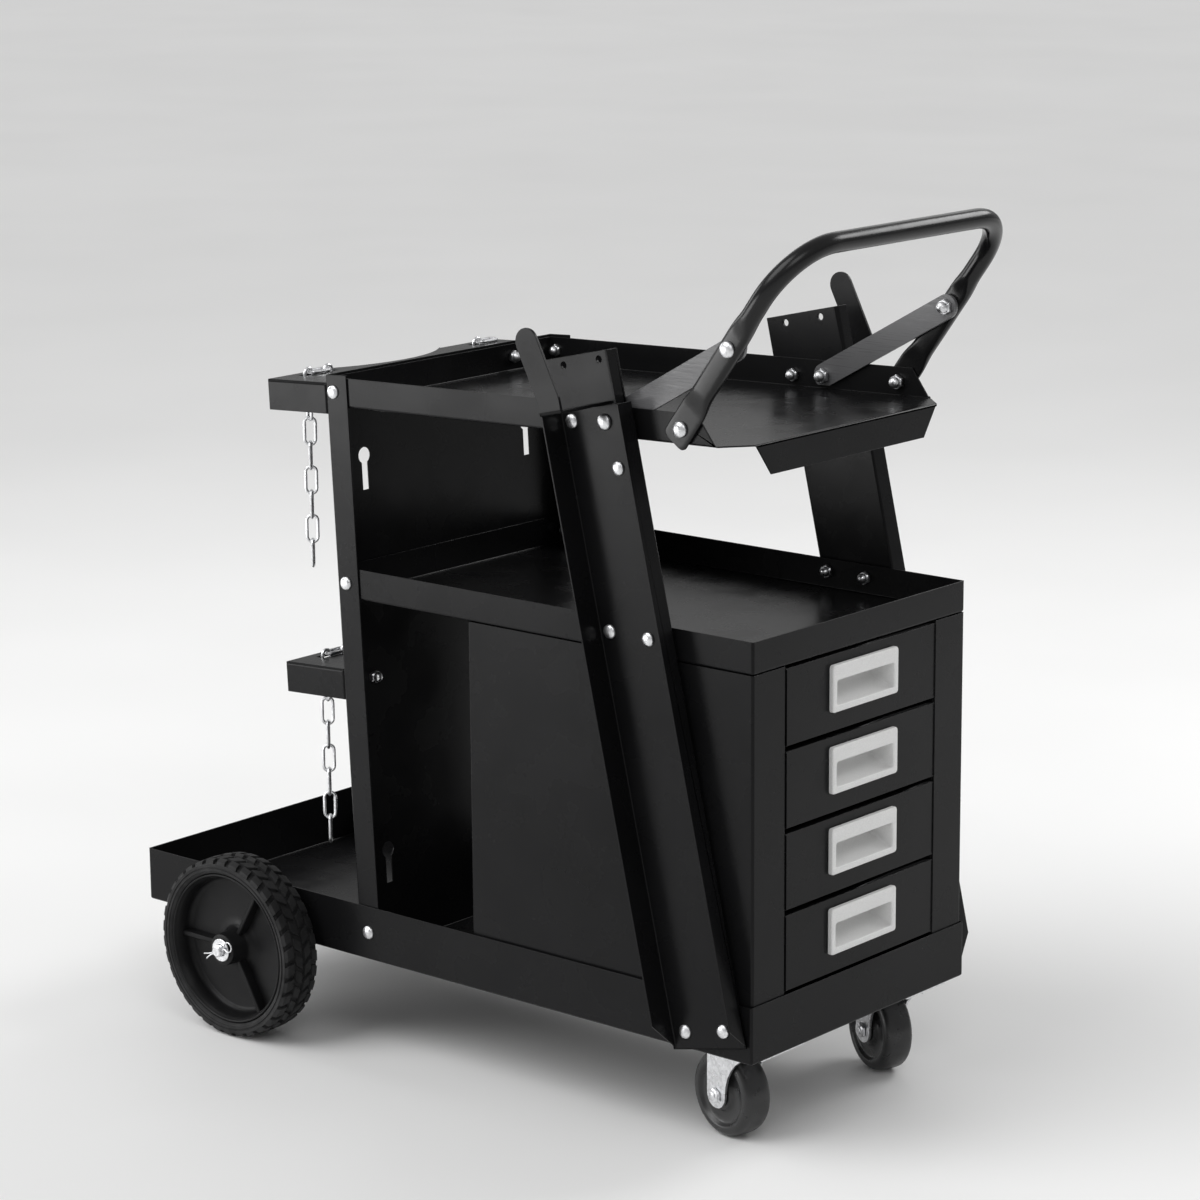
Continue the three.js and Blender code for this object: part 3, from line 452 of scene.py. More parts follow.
def folded_sheet(node, thickness, settings, finish, returns=0):
    """A node's sheet with its folds rounded inside and out, and its cut edges broken."""
    bm = bmesh.new()
    bm.from_mesh(frame["nodes"][node].data)
    bmesh.ops.remove_doubles(bm, verts=bm.verts, dist=WELD)
    merge_flats(bm)
    if returns:
        turn_back(bm, thickness, returns)
        split_round_mouth(bm)
    fold = thickness + settings.inside
    weight = bm.edges.layers.float.new("bevel_weight_edge")
    sharp = [e for e in bm.edges if e.is_manifold and e.calc_face_angle(0) > CREASE]
    convex = [e for e in sharp if e.is_convex]
    concave = [e for e in sharp if not e.is_convex]
    for outer in convex:
        outer[weight] = settings.edge / fold
        for inner in concave:
            if folds_round(outer, inner, thickness):
                outer[weight] = 1
                inner[weight] = settings.inside / fold
    piece = make_piece(f"{node}_sheet", bm, finish, node, folded=True)
    round_folds(piece, fold)
    return piece


def round_folds(piece, width):
    """Rounds the weighted edges and keeps the result as the piece's mesh, with its flats shaded flat."""
    bevel = piece.modifiers.new("folds", "BEVEL")
    bevel.limit_method = "WEIGHT"
    bevel.width = width
    bevel.segments = BEVEL_STEPS
    bevel.use_clamp_overlap = False
    apply_modifiers(piece)
    piece.data.set_sharp_from_angle(angle=CREASE)
    flats = piece.modifiers.new("flats", "WEIGHTED_NORMAL")
    flats.keep_sharp = True
    apply_modifiers(piece)


def apply_modifiers(piece):
    depsgraph = bpy.context.evaluated_depsgraph_get()
    rough = piece.data
    piece.data = bpy.data.meshes.new_from_object(
        piece.evaluated_get(depsgraph), preserve_all_data_layers=True, depsgraph=depsgraph)
    piece.modifiers.clear()
    piece.data.name = piece.name
    bpy.data.meshes.remove(rough)


def facing(point, axis, spin=0.0):
    """A place at a point whose Z runs along an axis."""
    turn = Vector(axis).to_track_quat("Z", "Y").to_matrix().to_4x4()
    return Matrix.Translation(point) @ turn @ Matrix.Rotation(spin, 4, "Z")


def skin(bm, rings, closed=False):
    """Quads between rings of vertices; a ring of one vertex is a pole."""
    pairs = list(zip(rings, rings[1:]))
    if closed:
        pairs.append((rings[-1], rings[0]))
    for low, high in pairs:
        count = max(len(low), len(high))
        for i in range(count):
            j = (i + 1) % count
            corners = [low[i % len(low)], low[j % len(low)], high[j % len(high)], high[i % len(high)]]
            bm.faces.new(list(dict.fromkeys(corners)))


def turned(bm, profile, place, sides, closed=False):
    """A body turned about a place's Z from radius and height; a radius of 0 closes it."""
    rings = []
    for radius, height in profile:
        count = sides if radius > 0 else 1
        points = [polar(radius, 2 * math.pi * i / count, height) for i in range(count)]
        rings.append([bm.verts.new(place @ point) for point in points])
    skin(bm, rings, closed)


def polar(radius, angle, height=0.0):
    return Vector((radius * math.cos(angle), radius * math.sin(angle), height))


def cap(bm, ring):
    bm.faces.new(ring)


def arc(centre, radius, start, end, steps):
    """Points of an arc in a profile, from one angle to another in degrees."""
    angles = [math.radians(start + (end - start) * i / steps) for i in range(steps + 1)]
    return [(centre[0] + radius * math.cos(a), centre[1] + radius * math.sin(a)) for a in angles]


def dome_head(bm, point, axis, diameter, height):
    """A dome head with a flat rim, standing on a face."""
    radius = diameter / 2
    rim = 0.22 * height
    profile = [(0, -0.2 * MM), (radius, -0.2 * MM), (radius, rim)]
    for i in range(1, 7):
        angle = math.radians(15 * i)
        profile.append((radius * math.cos(angle) if i < 6 else 0, rim + (height - rim) * math.sin(angle)))
    turned(bm, profile, facing(point, axis), 24)


def washer_ring(bm, point, axis, inner, outer, height):
    """A flat washer with broken edges, standing on a face."""
    edge = height / 4
    profile = [
        (inner, 0),
        (outer - edge, 0),
        (outer, edge),
        (outer, height - edge),
        (outer - edge, height),
        (inner + edge, height),
        (inner, height - edge),
    ]
    turned(bm, profile, facing(point, axis), 32, closed=True)


NUT_SIDES = 24


def hexagon(bm, place, flat, reach, level):
    """A hexagon's ring whose corners are turned down to a reach."""
    ring = []
    for i in range(NUT_SIDES):
        angle = 2 * math.pi * i / NUT_SIDES
        wedge = (angle + math.pi / 6) % (math.pi / 3) - math.pi / 6
        ring.append(bm.verts.new(place @ polar(min(flat / math.cos(wedge), reach), angle, level)))
    return ring


def circle(bm, place, radius, level):
    angles = [2 * math.pi * i / NUT_SIDES for i in range(NUT_SIDES)]
    return [bm.verts.new(place @ polar(radius, angle, level)) for angle in angles]


def hex_nut(bm, point, axis, flats, height, shank, stand=0.3):
    """A chamfered hexagon nut with the bolt's end standing out of it."""
    place = facing(point, axis)
    flat = flats / 2
    corner = flats / math.sqrt(3)
    levels = ((0.96 * flat, 0), (corner, 0.12 * height), (corner, 0.86 * height), (0.94 * flat, height))
    rings = [hexagon(bm, place, flat, reach, level) for reach, level in levels]
    end = shank / 2
    for radius, rise in ((end, 0), (end, 0.7 * stand), (0.82 * end, stand)):
        rings.append(circle(bm, place, radius, (1 + rise) * height))
    skin(bm, rings)
    cap(bm, rings[0])
    cap(bm, rings[-1])


def cap_nut(bm, point, axis, flats, height):
    """A hexagon nut closed by a dome."""
    place = facing(point, axis)
    flat = flats / 2
    corner = flats / math.sqrt(3)
    base = 0.42 * height
    neck = 0.86 * flat
    dome = height - base - 0.1 * height
    levels = ((0.96 * flat, 0), (corner, 0.06 * height), (corner, base - 0.08 * height), (0.96 * flat, base))
    rings = [hexagon(bm, place, flat, reach, level) for reach, level in levels]
    rings.append(circle(bm, place, neck, base))
    for i in range(6):
        angle = math.radians(15 * i)
        rings.append(circle(bm, place, neck * math.cos(angle), height - dome + dome * math.sin(angle)))
    rings.append([bm.verts.new(place @ Vector((0, 0, height)))])
    skin(bm, rings)
    cap(bm, rings[0])


def bolt_places(node):
    """A bolt node's axis place, and the y of its head's top and its nut's end."""
    low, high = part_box(node)
    side = 1 if high.y + low.y > 0 else -1
    outer, inner = (high.y, low.y) if side > 0 else (low.y, high.y)
    return (low.x + high.x) / 2, (low.z + high.z) / 2, side, outer, inner


class CartOperator(Operator):
    """Shared by the operators that make pieces of the cart."""

    bl_options = {"REGISTER", "UNDO"}


class CART_OT_sheet_body(CartOperator):
    """Make the trays, the cabinet and the back panel as folded sheet"""

    bl_idname = "cart.sheet_body"
    bl_label = "Sheet body"

    def execute(self, context):
        settings = context.scene.cart.sheet
        coat = finish_of(context, "coat")
        for node in ("base_tray", "cabinet_body", "middle_tray", "top_tray", "back_panel"):
            folded_sheet(node, settings.tray, settings, coat)
        return {"FINISHED"}


class CART_OT_side_frames(CartOperator):
    """Make the leaning channels and the cable hooks on both sides"""

    bl_idname = "cart.side_frames"
    bl_label = "Side frames"

    def execute(self, context):
        settings = context.scene.cart.sheet
        coat = finish_of(context, "coat")
        for side in SIDES:
            folded_sheet(f"side_channel_{side}", settings.channel, settings, coat)
            folded_sheet(f"cable_hook_{side}", settings.hook, settings, coat)
        return {"FINISHED"}


class CART_OT_drawers(CartOperator):
    """Make the drawers, their pulls and the runner racks"""

    bl_idname = "cart.drawers"
    bl_label = "Drawers"

    def execute(self, context):
        settings = context.scene.cart.sheet
        coat = finish_of(context, "coat")
        silver = finish_of(context, "silver")
        for side in SIDES:
            folded_sheet(f"runner_rack_{side}", settings.tray, settings, coat)
        for number in DRAWERS:
            folded_sheet(f"drawer_{number}", settings.tray, settings, coat, settings.returns)
            drawer_pull(f"drawer_pull_{number}", silver)
        return {"FINISHED"}


PULL_CORNER = 2.5 * MM
PULL_EDGE = 1.2 * MM
PULL_FACE = 4.0 * MM
PULL_BORDER = 5.4 * MM
PULL_TOP_BAND = 12.4 * MM
PULL_WALL = 1.4 * MM
PULL_BACK = 11.7 * MM
PULL_FILLET = 4.0 * MM
PULL_ARC_STEPS = 5


def rounded_loop(half_y, low_z, high_z, radius):
    """A rectangle with round corners in Y and Z, counter-clockwise from +Y."""
    points = []
    corners = (
        (half_y - radius, high_z - radius, 0),
        (radius - half_y, high_z - radius, 90),
        (radius - half_y, low_z + radius, 180),
        (half_y - radius, low_z + radius, 270),
    )
    for y, z, start in corners:
        points.extend(arc((y, z), radius, start, start + 90, PULL_ARC_STEPS))
    return points


def drawer_pull(node, finish):
    """A bezel with a broad upper band round a pocket whose floor slopes up to a filleted back."""
    low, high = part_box(node)
    centre = (low.z + high.z) / 2
    half_y = (high.y - low.y) / 2
    half_z = (high.z - low.z) / 2
    face = high.x
    mount = face - PULL_FACE
    mouth_y = half_y - PULL_BORDER
    mouth_low = PULL_BORDER - half_z
    mouth_high = half_z - PULL_TOP_BAND
    depth = mount - low.x - PULL_WALL
    rise = mouth_high - PULL_BACK - mouth_low
    bm = bmesh.new()

    def ring(x, half, bottom, top):
        loop = rounded_loop(half, bottom, top, min(PULL_CORNER, 0.45 * (top - bottom)))
        return [bm.verts.new((x, y, centre + z)) for y, z in loop]

    def bezel(x, inset):
        return ring(x, half_y - inset, inset - half_z, half_z - inset)

    def pocket(back, grow):
        bottom = mouth_low + rise * max(0, back) / depth
        return ring(mount - back, mouth_y + grow, bottom - grow, mouth_high + grow)

    turn = [math.radians(22.5 * i) for i in range(5)]
    rim = [bezel(mount, 0)]
    rim += [bezel(face - PULL_EDGE * (1 - math.sin(a)), PULL_EDGE * (1 - math.cos(a))) for a in turn]
    rim += [pocket(-PULL_FACE + PULL_EDGE * (1 - math.cos(a)), PULL_EDGE * (1 - math.sin(a))) for a in turn]
    start = depth - PULL_FILLET
    inside = [pocket(0, 0), pocket(start / 2, 0)]
    inside += [pocket(start + PULL_FILLET * math.sin(a), -PULL_FILLET * (1 - math.cos(a))) for a in turn]
    outside = [pocket(depth + PULL_WALL, PULL_WALL), pocket(depth, PULL_WALL), pocket(0, PULL_WALL)]
    skin(bm, rim + inside)
    skin(bm, outside + [rim[0]])
    cap(bm, inside[-1])
    cap(bm, outside[0])
    return make_piece(f"{node}_moulding", bm, finish, node)


class CART_OT_handle(CartOperator):
    """Make the bent handle tube and its flat braces"""

    bl_idname = "cart.handle"
    bl_label = "Handle"

    def execute(self, context):
        settings = context.scene.cart
        handle_tube(settings.handle, finish_of(context, "enamel"))
        for side in SIDES:
            folded_sheet(f"handle_brace_{side}", settings.sheet.hook, settings.sheet, finish_of(context, "brace"))
        return {"FINISHED"}


SWELL_STEPS = 8
BEND_STEPS = 16
TUBE_SIDES = 32
# How square a section is: the power of its rounded rectangle
FOOT_POWER = 6
PRESS_POWER = 4
TUBE_POWER = 2


def smooth_step(share):
    share = min(1.0, max(0.0, share))
    return share * share * (3 - 2 * share)


def spread(start, end, steps):
    return [start + (end - start) * i / steps for i in range(steps + 1)]


def leg_section(settings, up, half):
    """A leg's half width, half thickness, distance outboard and power, at a distance above its foot's bolt."""
    thin = settings.foot_thickness / 2
    press = settings.press_thickness / 2
    foot_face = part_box("top_tray")[1].y + settings.seat
    press_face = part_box("handle_brace_left")[1].y + settings.seat
    foot = Vector((settings.foot_width / 2, thin, foot_face + thin, FOOT_POWER))
    pressed = Vector((settings.press_width / 2, press, press_face + press, PRESS_POWER))
    tube = Vector((settings.tube / 2, settings.tube / 2, half, TUBE_POWER))
    section = foot.lerp(pressed, smooth_step((up - settings.flat) / settings.flat_swell))
    section = section.lerp(tube, smooth_step((up - settings.press_end) / settings.press_swell))
    corner = settings.foot_corner
    cut = max(0.0, corner - settings.foot_end - up)
    section[0] -= corner - math.sqrt(corner * corner - cut * cut)
    return section


def handle_path(settings, length, half):
    """The tube's stations in its own plane: distance up the leg, tangent, and its section there."""
    bend = settings.bend
    ups = [-settings.foot_end + settings.foot_corner * (1 - math.cos(math.radians(22.5 * i))) for i in range(5)]
    ups += spread(settings.flat, settings.flat + settings.flat_swell, SWELL_STEPS)
    ups += spread(settings.press_end, settings.press_end + settings.press_swell, SWELL_STEPS)
    path = [(up, (1, 0), leg_section(settings, up, half)) for up in ups]
    for angle in spread(0, math.pi / 2, BEND_STEPS):
        up = length - bend + bend * math.sin(angle)
        section = leg_section(settings, up, half - bend + bend * math.cos(angle))
        path.append((up, (math.cos(angle), -math.sin(angle)), section))
    mirrored = []
    for up, tangent, section in reversed(path):
        mirrored.append((up, (-tangent[0], tangent[1]), section * Vector((1, 1, -1, 1))))
    return path + mirrored


def handle_tube(settings, finish):
    """One tube whose round section is pressed beside the braces and flattened into a wide foot at either end."""
    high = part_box("handle_tube")[1]
    foot_x, foot_z, *_ = bolt_places("handle_bolt_left")
    leg_x, leg_z, *_ = bolt_places("leg_bolt_left")
    leg = Vector((leg_x - foot_x, 0, leg_z - foot_z)).normalized()
    across = leg.cross(Y)
    radius = settings.tube / 2
    length = min((high.z - radius - foot_z) / leg.z, (high.x - radius - foot_x) / leg.x)
    start = Vector((foot_x, 0, foot_z))
    bm = bmesh.new()
    rings = []
    for up, tangent, (wide, deep, out, power) in handle_path(settings, length, high.y - radius):
        centre = start + leg * up + Y * out
        thick = (leg * tangent[0] + Y * tangent[1]).cross(across)
        ring = []
        for i in range(TUBE_SIDES):
            angle = 2 * math.pi * i / TUBE_SIDES
            a = math.copysign(abs(math.cos(angle)) ** (2 / power), math.cos(angle))
            b = math.copysign(abs(math.sin(angle)) ** (2 / power), math.sin(angle))
            ring.append(bm.verts.new(centre + across * (wide * a) + thick * (deep * b)))
        rings.append(ring)
    skin(bm, rings)
    cap(bm, rings[0])
    cap(bm, rings[-1])
    return make_piece("handle_tube_bent", bm, finish, "handle_tube")


class CART_OT_cylinder_rack(CartOperator):
    """Make the two cylinder brackets behind the back panel"""

    bl_idname = "cart.cylinder_rack"
    bl_label = "Cylinder rack"

    def execute(self, context):
        settings = context.scene.cart.sheet
        for level in LEVELS:
            folded_sheet(f"{level}_cylinder_bracket", settings.bracket, settings, finish_of(context, "coat"))
        return {"FINISHED"}


class CART_OT_chains(CartOperator):
    """Make the chains as welded oval links"""

    bl_idname = "cart.chains"
    bl_label = "Chains"

    def execute(self, context):
        settings = context.scene.cart.hardware
        zinc = finish_of(context, "zinc")
        for level, slack in zip(LEVELS, (settings.upper_slack, settings.lower_slack)):
            for side in SIDES:
                flat_link(f"{level}_chain_catch_{side}", level, zinc)
            hanging_chain(f"{level}_chain", level, slack, settings.chain_lap, zinc)
            chain_tail(f"{level}_chain_tail", level, settings.chain_lap, zinc)
        return {"FINISHED"}


LINK_STEPS = 10
LINK_SIDES = 10
SAG_PASSES = 40
# How far a hanging tail turns about its own line, over its first links
TAIL_TWIST = math.radians(-49)
TWIST_LINKS = 2


def link_size(level):
    """Length, width and wire of a chain's links, from the link that lies on its bracket."""
    low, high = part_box(f"{level}_chain_catch_left")
    span = high - low
    return span.y, span.x, span.z


def add_link(bm, start, end, side, measures):
    """An oval link whose ends' bends are centred about two points, lying in the plane of a side vector."""
    length, width, wire = measures
    along = (end - start).normalized()
    side = (side - along * side.dot(along)).normalized()
    face = along.cross(side)
    centre = (start + end) / 2
    bend = (width - wire) / 2
    straight = (length - width) / 2
    rings = []
    for turn, shift in ((0, straight), (math.pi, -straight)):
        for i in range(LINK_STEPS + 1):
            angle = turn - math.pi / 2 + math.pi * i / LINK_STEPS
            out = along * math.cos(angle) + side * math.sin(angle)
            place = centre + along * shift + out * bend
            ring = []
            for k in range(LINK_SIDES):
                around = 2 * math.pi * k / LINK_SIDES
                ring.append(bm.verts.new(place + (out * math.cos(around) + face * math.sin(around)) * (wire / 2)))
            rings.append(ring)
    skin(bm, rings, closed=True)


def flat_link(node, level, finish):
    """A link that lies flat across two slots of its bracket."""
    low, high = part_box(node)
    measures = link_size(level)
    centre = (low + high) / 2
    bm = bmesh.new()
    add_link(bm, centre - Y * measures[0] / 4, centre + Y * measures[0] / 4, X, measures)
    make_piece(f"{node}_link", bm, finish, node)


def first_stop(node, level, lap):
    """The height at which a chain's first link starts, the links' step and their measures."""
    length, width, wire = link_size(level)
    step = length - 2 * wire + lap
    low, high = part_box(node)
    return high.z + step / 2 - length / 2, step, (length, width, wire)


def thread_links(bm, stops, measures, twist=0.0):
    """Links from stop to stop, each turned a quarter from the last."""
    for number, (start, end) in enumerate(zip(stops, stops[1:])):
        along = (end - start).normalized()
        side = X.cross(along) if number % 2 == 0 else X
        turn = Matrix.Rotation(twist * min(1, number / TWIST_LINKS), 3, "Z")
        add_link(bm, start, end, turn @ side, measures)


def chain_tail(node, level, lap, finish):
    low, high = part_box(node)
    top, step, measures = first_stop(node, level, lap)
    links = round((high.z - low.z - measures[0]) / step) + 1
    middle_x = (low.x + high.x) / 2
    middle_y = (low.y + high.y) / 2
    stops = [Vector((middle_x, middle_y, top - step * i)) for i in range(links + 1)]
    bm = bmesh.new()
    thread_links(bm, stops, measures, TAIL_TWIST)
    make_piece(f"{node}_links", bm, finish, node)


def spaced(curve, count):
    """Points one equal step apart along a polyline."""
    lengths = [0.0]
    for start, end in zip(curve, curve[1:]):
        lengths.append(lengths[-1] + (end - start).length)
    points = []
    at = 0
    for i in range(count + 1):
        target = lengths[-1] * i / count
        while at < len(curve) - 2 and lengths[at + 1] < target:
            at += 1
        share = (target - lengths[at]) / (lengths[at + 1] - lengths[at])
        points.append(curve[at].lerp(curve[at + 1], share))
    return points


def sagging(start, end, sag):
    """A curve that hangs between two points on a level."""
    low = (start + end) / 2 - Z * (2 * sag)
    count = 200
    shares = [i / count for i in range(count + 1)]
    return [start * (1 - s) ** 2 + low * (2 * s * (1 - s)) + end * s ** 2 for s in shares]


def hanging_chain(node, level, slack, lap, finish):
    """A sling between its two slots, as long as its links make it."""
    low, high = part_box(node)
    top, step, measures = first_stop(node, level, lap)
    x = (low.x + high.x) / 2
    near = Vector((x, low.y + measures[1] / 2, top))
    far = Vector((x, high.y - measures[1] / 2, top))
    needed = round((far.y - near.y) * slack / step, 3)
    links = 2 * math.ceil((needed - 1) / 2) + 1
    shallow, deep = 0.0, links * step
    for _ in range(SAG_PASSES):
        sag = (shallow + deep) / 2
        stops = spaced(sagging(near - Z * step, far - Z * step, sag), links)
        reach = sum((b - a).length for a, b in zip(stops, stops[1:]))
        if reach < links * step:
            shallow = sag
        else:
            deep = sag
    bm = bmesh.new()
    thread_links(bm, [near] + stops + [far], measures)
    make_piece(f"{node}_links", bm, finish, node)


class CART_OT_fasteners(CartOperator):
    """Make the bolts of the handle, channels, panel and brackets, with their nuts"""

    bl_idname = "cart.fasteners"
    bl_label = "Fasteners"

    def execute(self, context):
        settings = context.scene.cart.hardware
        zinc = finish_of(context, "zinc")
        for side in SIDES:
            for name in ("handle_bolt", "leg_bolt", "brace_bolt"):
                through_bolt(f"{name}_{side}", settings, zinc)
            side_bolts(side, settings, zinc)
        return {"FINISHED"}


def through_bolt(node, settings, finish):
    """A dome-head bolt through what it holds, with its cap nut inboard."""
    x, z, side, outer, inner = bolt_places(node)
    head = Vector((x, outer - side * settings.dome, z))
    nut = Vector((x, inner + side * settings.nut_height, z))
    bm = bmesh.new()
    dome_head(bm, head, Y * side, settings.head, settings.dome)
    cap_nut(bm, nut, -Y * side, settings.nut, settings.nut_height)
    shank = settings.shank / 2
    reach = abs(head.y - nut.y)
    turned(bm, [(0, 0), (shank, 0), (shank, reach), (0, reach)], facing(nut, Y * side), NUT_SIDES)
    return make_piece(f"{node}_set", bm, finish, node)


# Bolts through the sides, as their distance along X from the cabinet's front and their height over the floor
FOOT_BOLTS = ((-63.3, 99.0), (-25.3, 107.5))
RIM_BOLTS = ((-138.3, 411.0), (-99.3, 410.5), (-175.2, 573.5))
HOOK_BOLT = (-128.3, 541.7)
PANEL_BOLTS = ((-439.0, 568.5), (-429.0, 408.5))
BASE_BOLT = (-411.0, 108.5)
# A bracket's nut before the panel, by side: from the cabinet's front, from the middle and over the floor
BRACKET_NUTS = {"left": (-444.4, 87.0, 569.0), "right": (-433.3, -106.0, 321.5)}


def side_bolts(side, settings, finish):
    """Small dome bolts of one side's channel, panel flange and base rim, with cap nuts inside."""
    sign = SIDES[side]
    sheet = bpy.context.scene.cart.sheet
    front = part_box("cabinet_body")[1].x
    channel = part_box("side_channel_left")[0].y + sheet.channel
    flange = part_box("back_panel")[1].y
    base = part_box("base_tray")[1].y
    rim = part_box("top_tray")[1].y - sheet.tray
    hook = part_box("cable_hook_left")[0].y
    places = [(place, channel, None) for place in FOOT_BOLTS]
    places += [(place, channel, rim) for place in RIM_BOLTS]
    places += [(place, flange, flange - sheet.tray) for place in PANEL_BOLTS]
    places += [(HOOK_BOLT, channel, hook), (BASE_BOLT, base, base - sheet.tray)]
    bm = bmesh.new()
    for (along, height), outside, inside in places:
        x, z = front + along * MM, height * MM
        dome_head(bm, Vector((x, sign * outside, z)), Y * sign, settings.small_head, settings.small_dome)
        if inside:
            point = Vector((x, sign * inside, z))
            cap_nut(bm, point, -Y * sign, settings.small_nut, settings.small_nut_height)
    along, aside, height = BRACKET_NUTS[side]
    point = Vector((front + along * MM, aside * MM, height * MM))
    cap_nut(bm, point, X, settings.small_nut, settings.small_nut_height)
    return make_piece(f"side_bolts_{side}", bm, finish, body="cart_frame")


class CART_OT_rear_wheels(CartOperator):
    """Make the rear tyres, rims, washers, pins, axle and saddles"""

    bl_idname = "cart.rear_wheels"
    bl_label = "Rear wheels"

    def execute(self, context):
        settings = context.scene.cart
        zinc = finish_of(context, "zinc")
        for side in SIDES:
            rear_tyre(side, settings.wheels, finish_of(context, "rubber"))
            rear_rim(side, settings.wheels, finish_of(context, "plastic"))
            axle_washer(side, zinc)
            cotter_pin(side, zinc)
            folded_sheet(f"axle_saddle_{side}", settings.sheet.tray, settings.sheet, finish_of(context, "coat"))
        rear_axle(zinc)
        return {"FINISHED"}


def wheel_place(node, side):
    """A wheel node's middle as a place whose Z runs outboard."""
    low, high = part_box(node)
    return facing((low + high) / 2, Y * SIDES[side])


def rear_tyre(side, settings, finish):
    """A tyre with stepped flanks and a tread of slanted blocks in four rows."""
    node = f"rear_tyre_{side}"
    low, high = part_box(node)
    radius = (high.z - low.z) / 2
    half = (high.y - low.y) / 2
    place = wheel_place(node, side)
    rim_low, rim_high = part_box(f"rear_rim_{side}")
    bed = (rim_high.z - rim_low.z) / 2 + 0.3 * MM
    share = settings.groove
    wall = 0.035
    columns = [0, wall, 0.5 - share - wall, 0.5 - share, 0.5, 0.5 + wall, 1 - share - wall, 1 - share]
    raised = {0: range(1, 7), 1: (0, 1, 2, 5, 6, 7)}
    flank = [
        (bed, half - 3.0 * MM),
        (bed + 1.2 * MM, half - 1.4 * MM),
        (bed + 2.4 * MM, half - 0.9 * MM),
        (bed + 2.8 * MM, half - 0.1 * MM),
        (bed + 4.4 * MM, half),
        (bed + 4.8 * MM, half - 0.8 * MM),
        (bed + 5.6 * MM, half - 0.8 * MM),
        (bed + 6.0 * MM, half - 0.1 * MM),
        (radius - 4.4 * MM, half - 0.1 * MM),
        (radius - 4.0 * MM, half - 0.5 * MM),
    ]
    crown = 0.0042 / MM

    def crest(y):
        return radius - crown * y * y

    rows = [(r, y, r, y, 0) for r, y in flank]
    tread = [
        (18.3, -2.2, 0),
        (17.2, -0.3, 0),
        (16.0, 0.0, 0),
        (10.6, 0.0, 0),
        (10.0, None, 0),
        (9.2, None, 1),
        (8.6, 0.0, 1),
        (1.6, 0.0, 1),
        (1.0, None, 1),
    ]
    for y, rise, phase in tread:
        y *= MM
        if rise is None:
            rows.append((crest(y) - settings.tread, y, crest(y) - settings.tread, y, phase))
            continue
        top = crest(y) + rise * MM
        sunk = settings.tread * (0.4 if rise < -2 else 1)
        rows.append((top, y, top - sunk, y - (0.8 * MM if rise < 0 else 0), phase))
    mirrored = [(top, -y, sunk, -sunk_y, 1 - phase) for top, y, sunk, sunk_y, phase in rows]
    bm = bmesh.new()
    rings = []
    for top, y, sunk, sunk_y, phase in rows + mirrored[::-1]:
        slant = slant_at(y / MM) / settings.pitches
        ring = []
        for pitch in range(settings.pitches):
            for number, column in enumerate(columns):
                high_here = number in raised[phase]
                angle = 2 * math.pi * ((pitch + column) / settings.pitches + slant)
                reach, across = (top, y) if high_here else (sunk, sunk_y)
                ring.append(bm.verts.new(place @ polar(reach, angle, across)))
        rings.append(ring)
    skin(bm, rings, closed=True)
    return make_piece(f"{node}_treaded", bm, finish, node)


def slant_at(y):
    """How far the tread's blocks lean round the tyre at a distance from its middle, in pitches."""
    reach = abs(y)
    if reach < 9.6:
        return 0.05 * reach
    return 0.48 - 0.03 * (reach - 9.6)


def rear_rim(side, settings, finish):
    """A dished rim with a rolled lip, a standing hub and tapered ribs."""
    node = f"rear_rim_{side}"
    low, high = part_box(node)
    tyre_low, tyre_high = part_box(f"rear_tyre_{side}")
    place = wheel_place(f"rear_tyre_{side}", side)
    out = max(abs(low.y), abs(high.y)) - abs(tyre_low.y + tyre_high.y) / 2
    half = (tyre_high.y - tyre_low.y) / 2 - 2 * MM
    rim, hub, bore = (high.z - low.z) / 2, settings.hub, settings.bore
    bed = rim - 3 * MM
    web = half - settings.dish
    profile = [(bore, -half), (hub - 1 * MM, -half), (hub, 1 * MM - half), (hub, web - 8 * MM)]
    profile += [(hub + 3 * MM, web - 5 * MM), (bed - 3 * MM, web - 5 * MM), (bed, web - 8 * MM), (bed, -half)]
    profile += [(rim, -half), (rim, half - 1 * MM)]
    profile += arc((rim - 1.2 * MM, half - 1.2 * MM), 1.2 * MM, 20, 160, 5)
    profile += [(bed - 0.2 * MM, half - 2.6 * MM), (bed - 1.0 * MM, half - 3.4 * MM), (bed - 2.4 * MM, web + 5 * MM)]
    profile += [(bed - 3.2 * MM, web + 2.4 * MM), (bed - 5 * MM, web + 0.6 * MM), (bed - 7.5 * MM, web)]
    profile += [(hub + 12 * MM, web - 0.6 * MM), (hub + 5 * MM, web), (hub + 2.2 * MM, web + 1.6 * MM)]
    profile += [(hub + 0.8 * MM, web + 4.5 * MM), (hub, out - 1.6 * MM), (hub - 0.5 * MM, out - 0.5 * MM)]
    profile += [(hub - 1.6 * MM, out), (bore + 1 * MM, out), (bore, out - 1 * MM)]
    bm = bmesh.new()
    turned(bm, profile, place, 96, closed=True)
    for number in range(3):
        rim_rib(bm, place, math.pi / 3 + number * 2 * math.pi / 3, hub - 1 * MM, bed - 1.5 * MM, web, settings)
    return make_piece(f"{node}_dished", bm, finish, node)


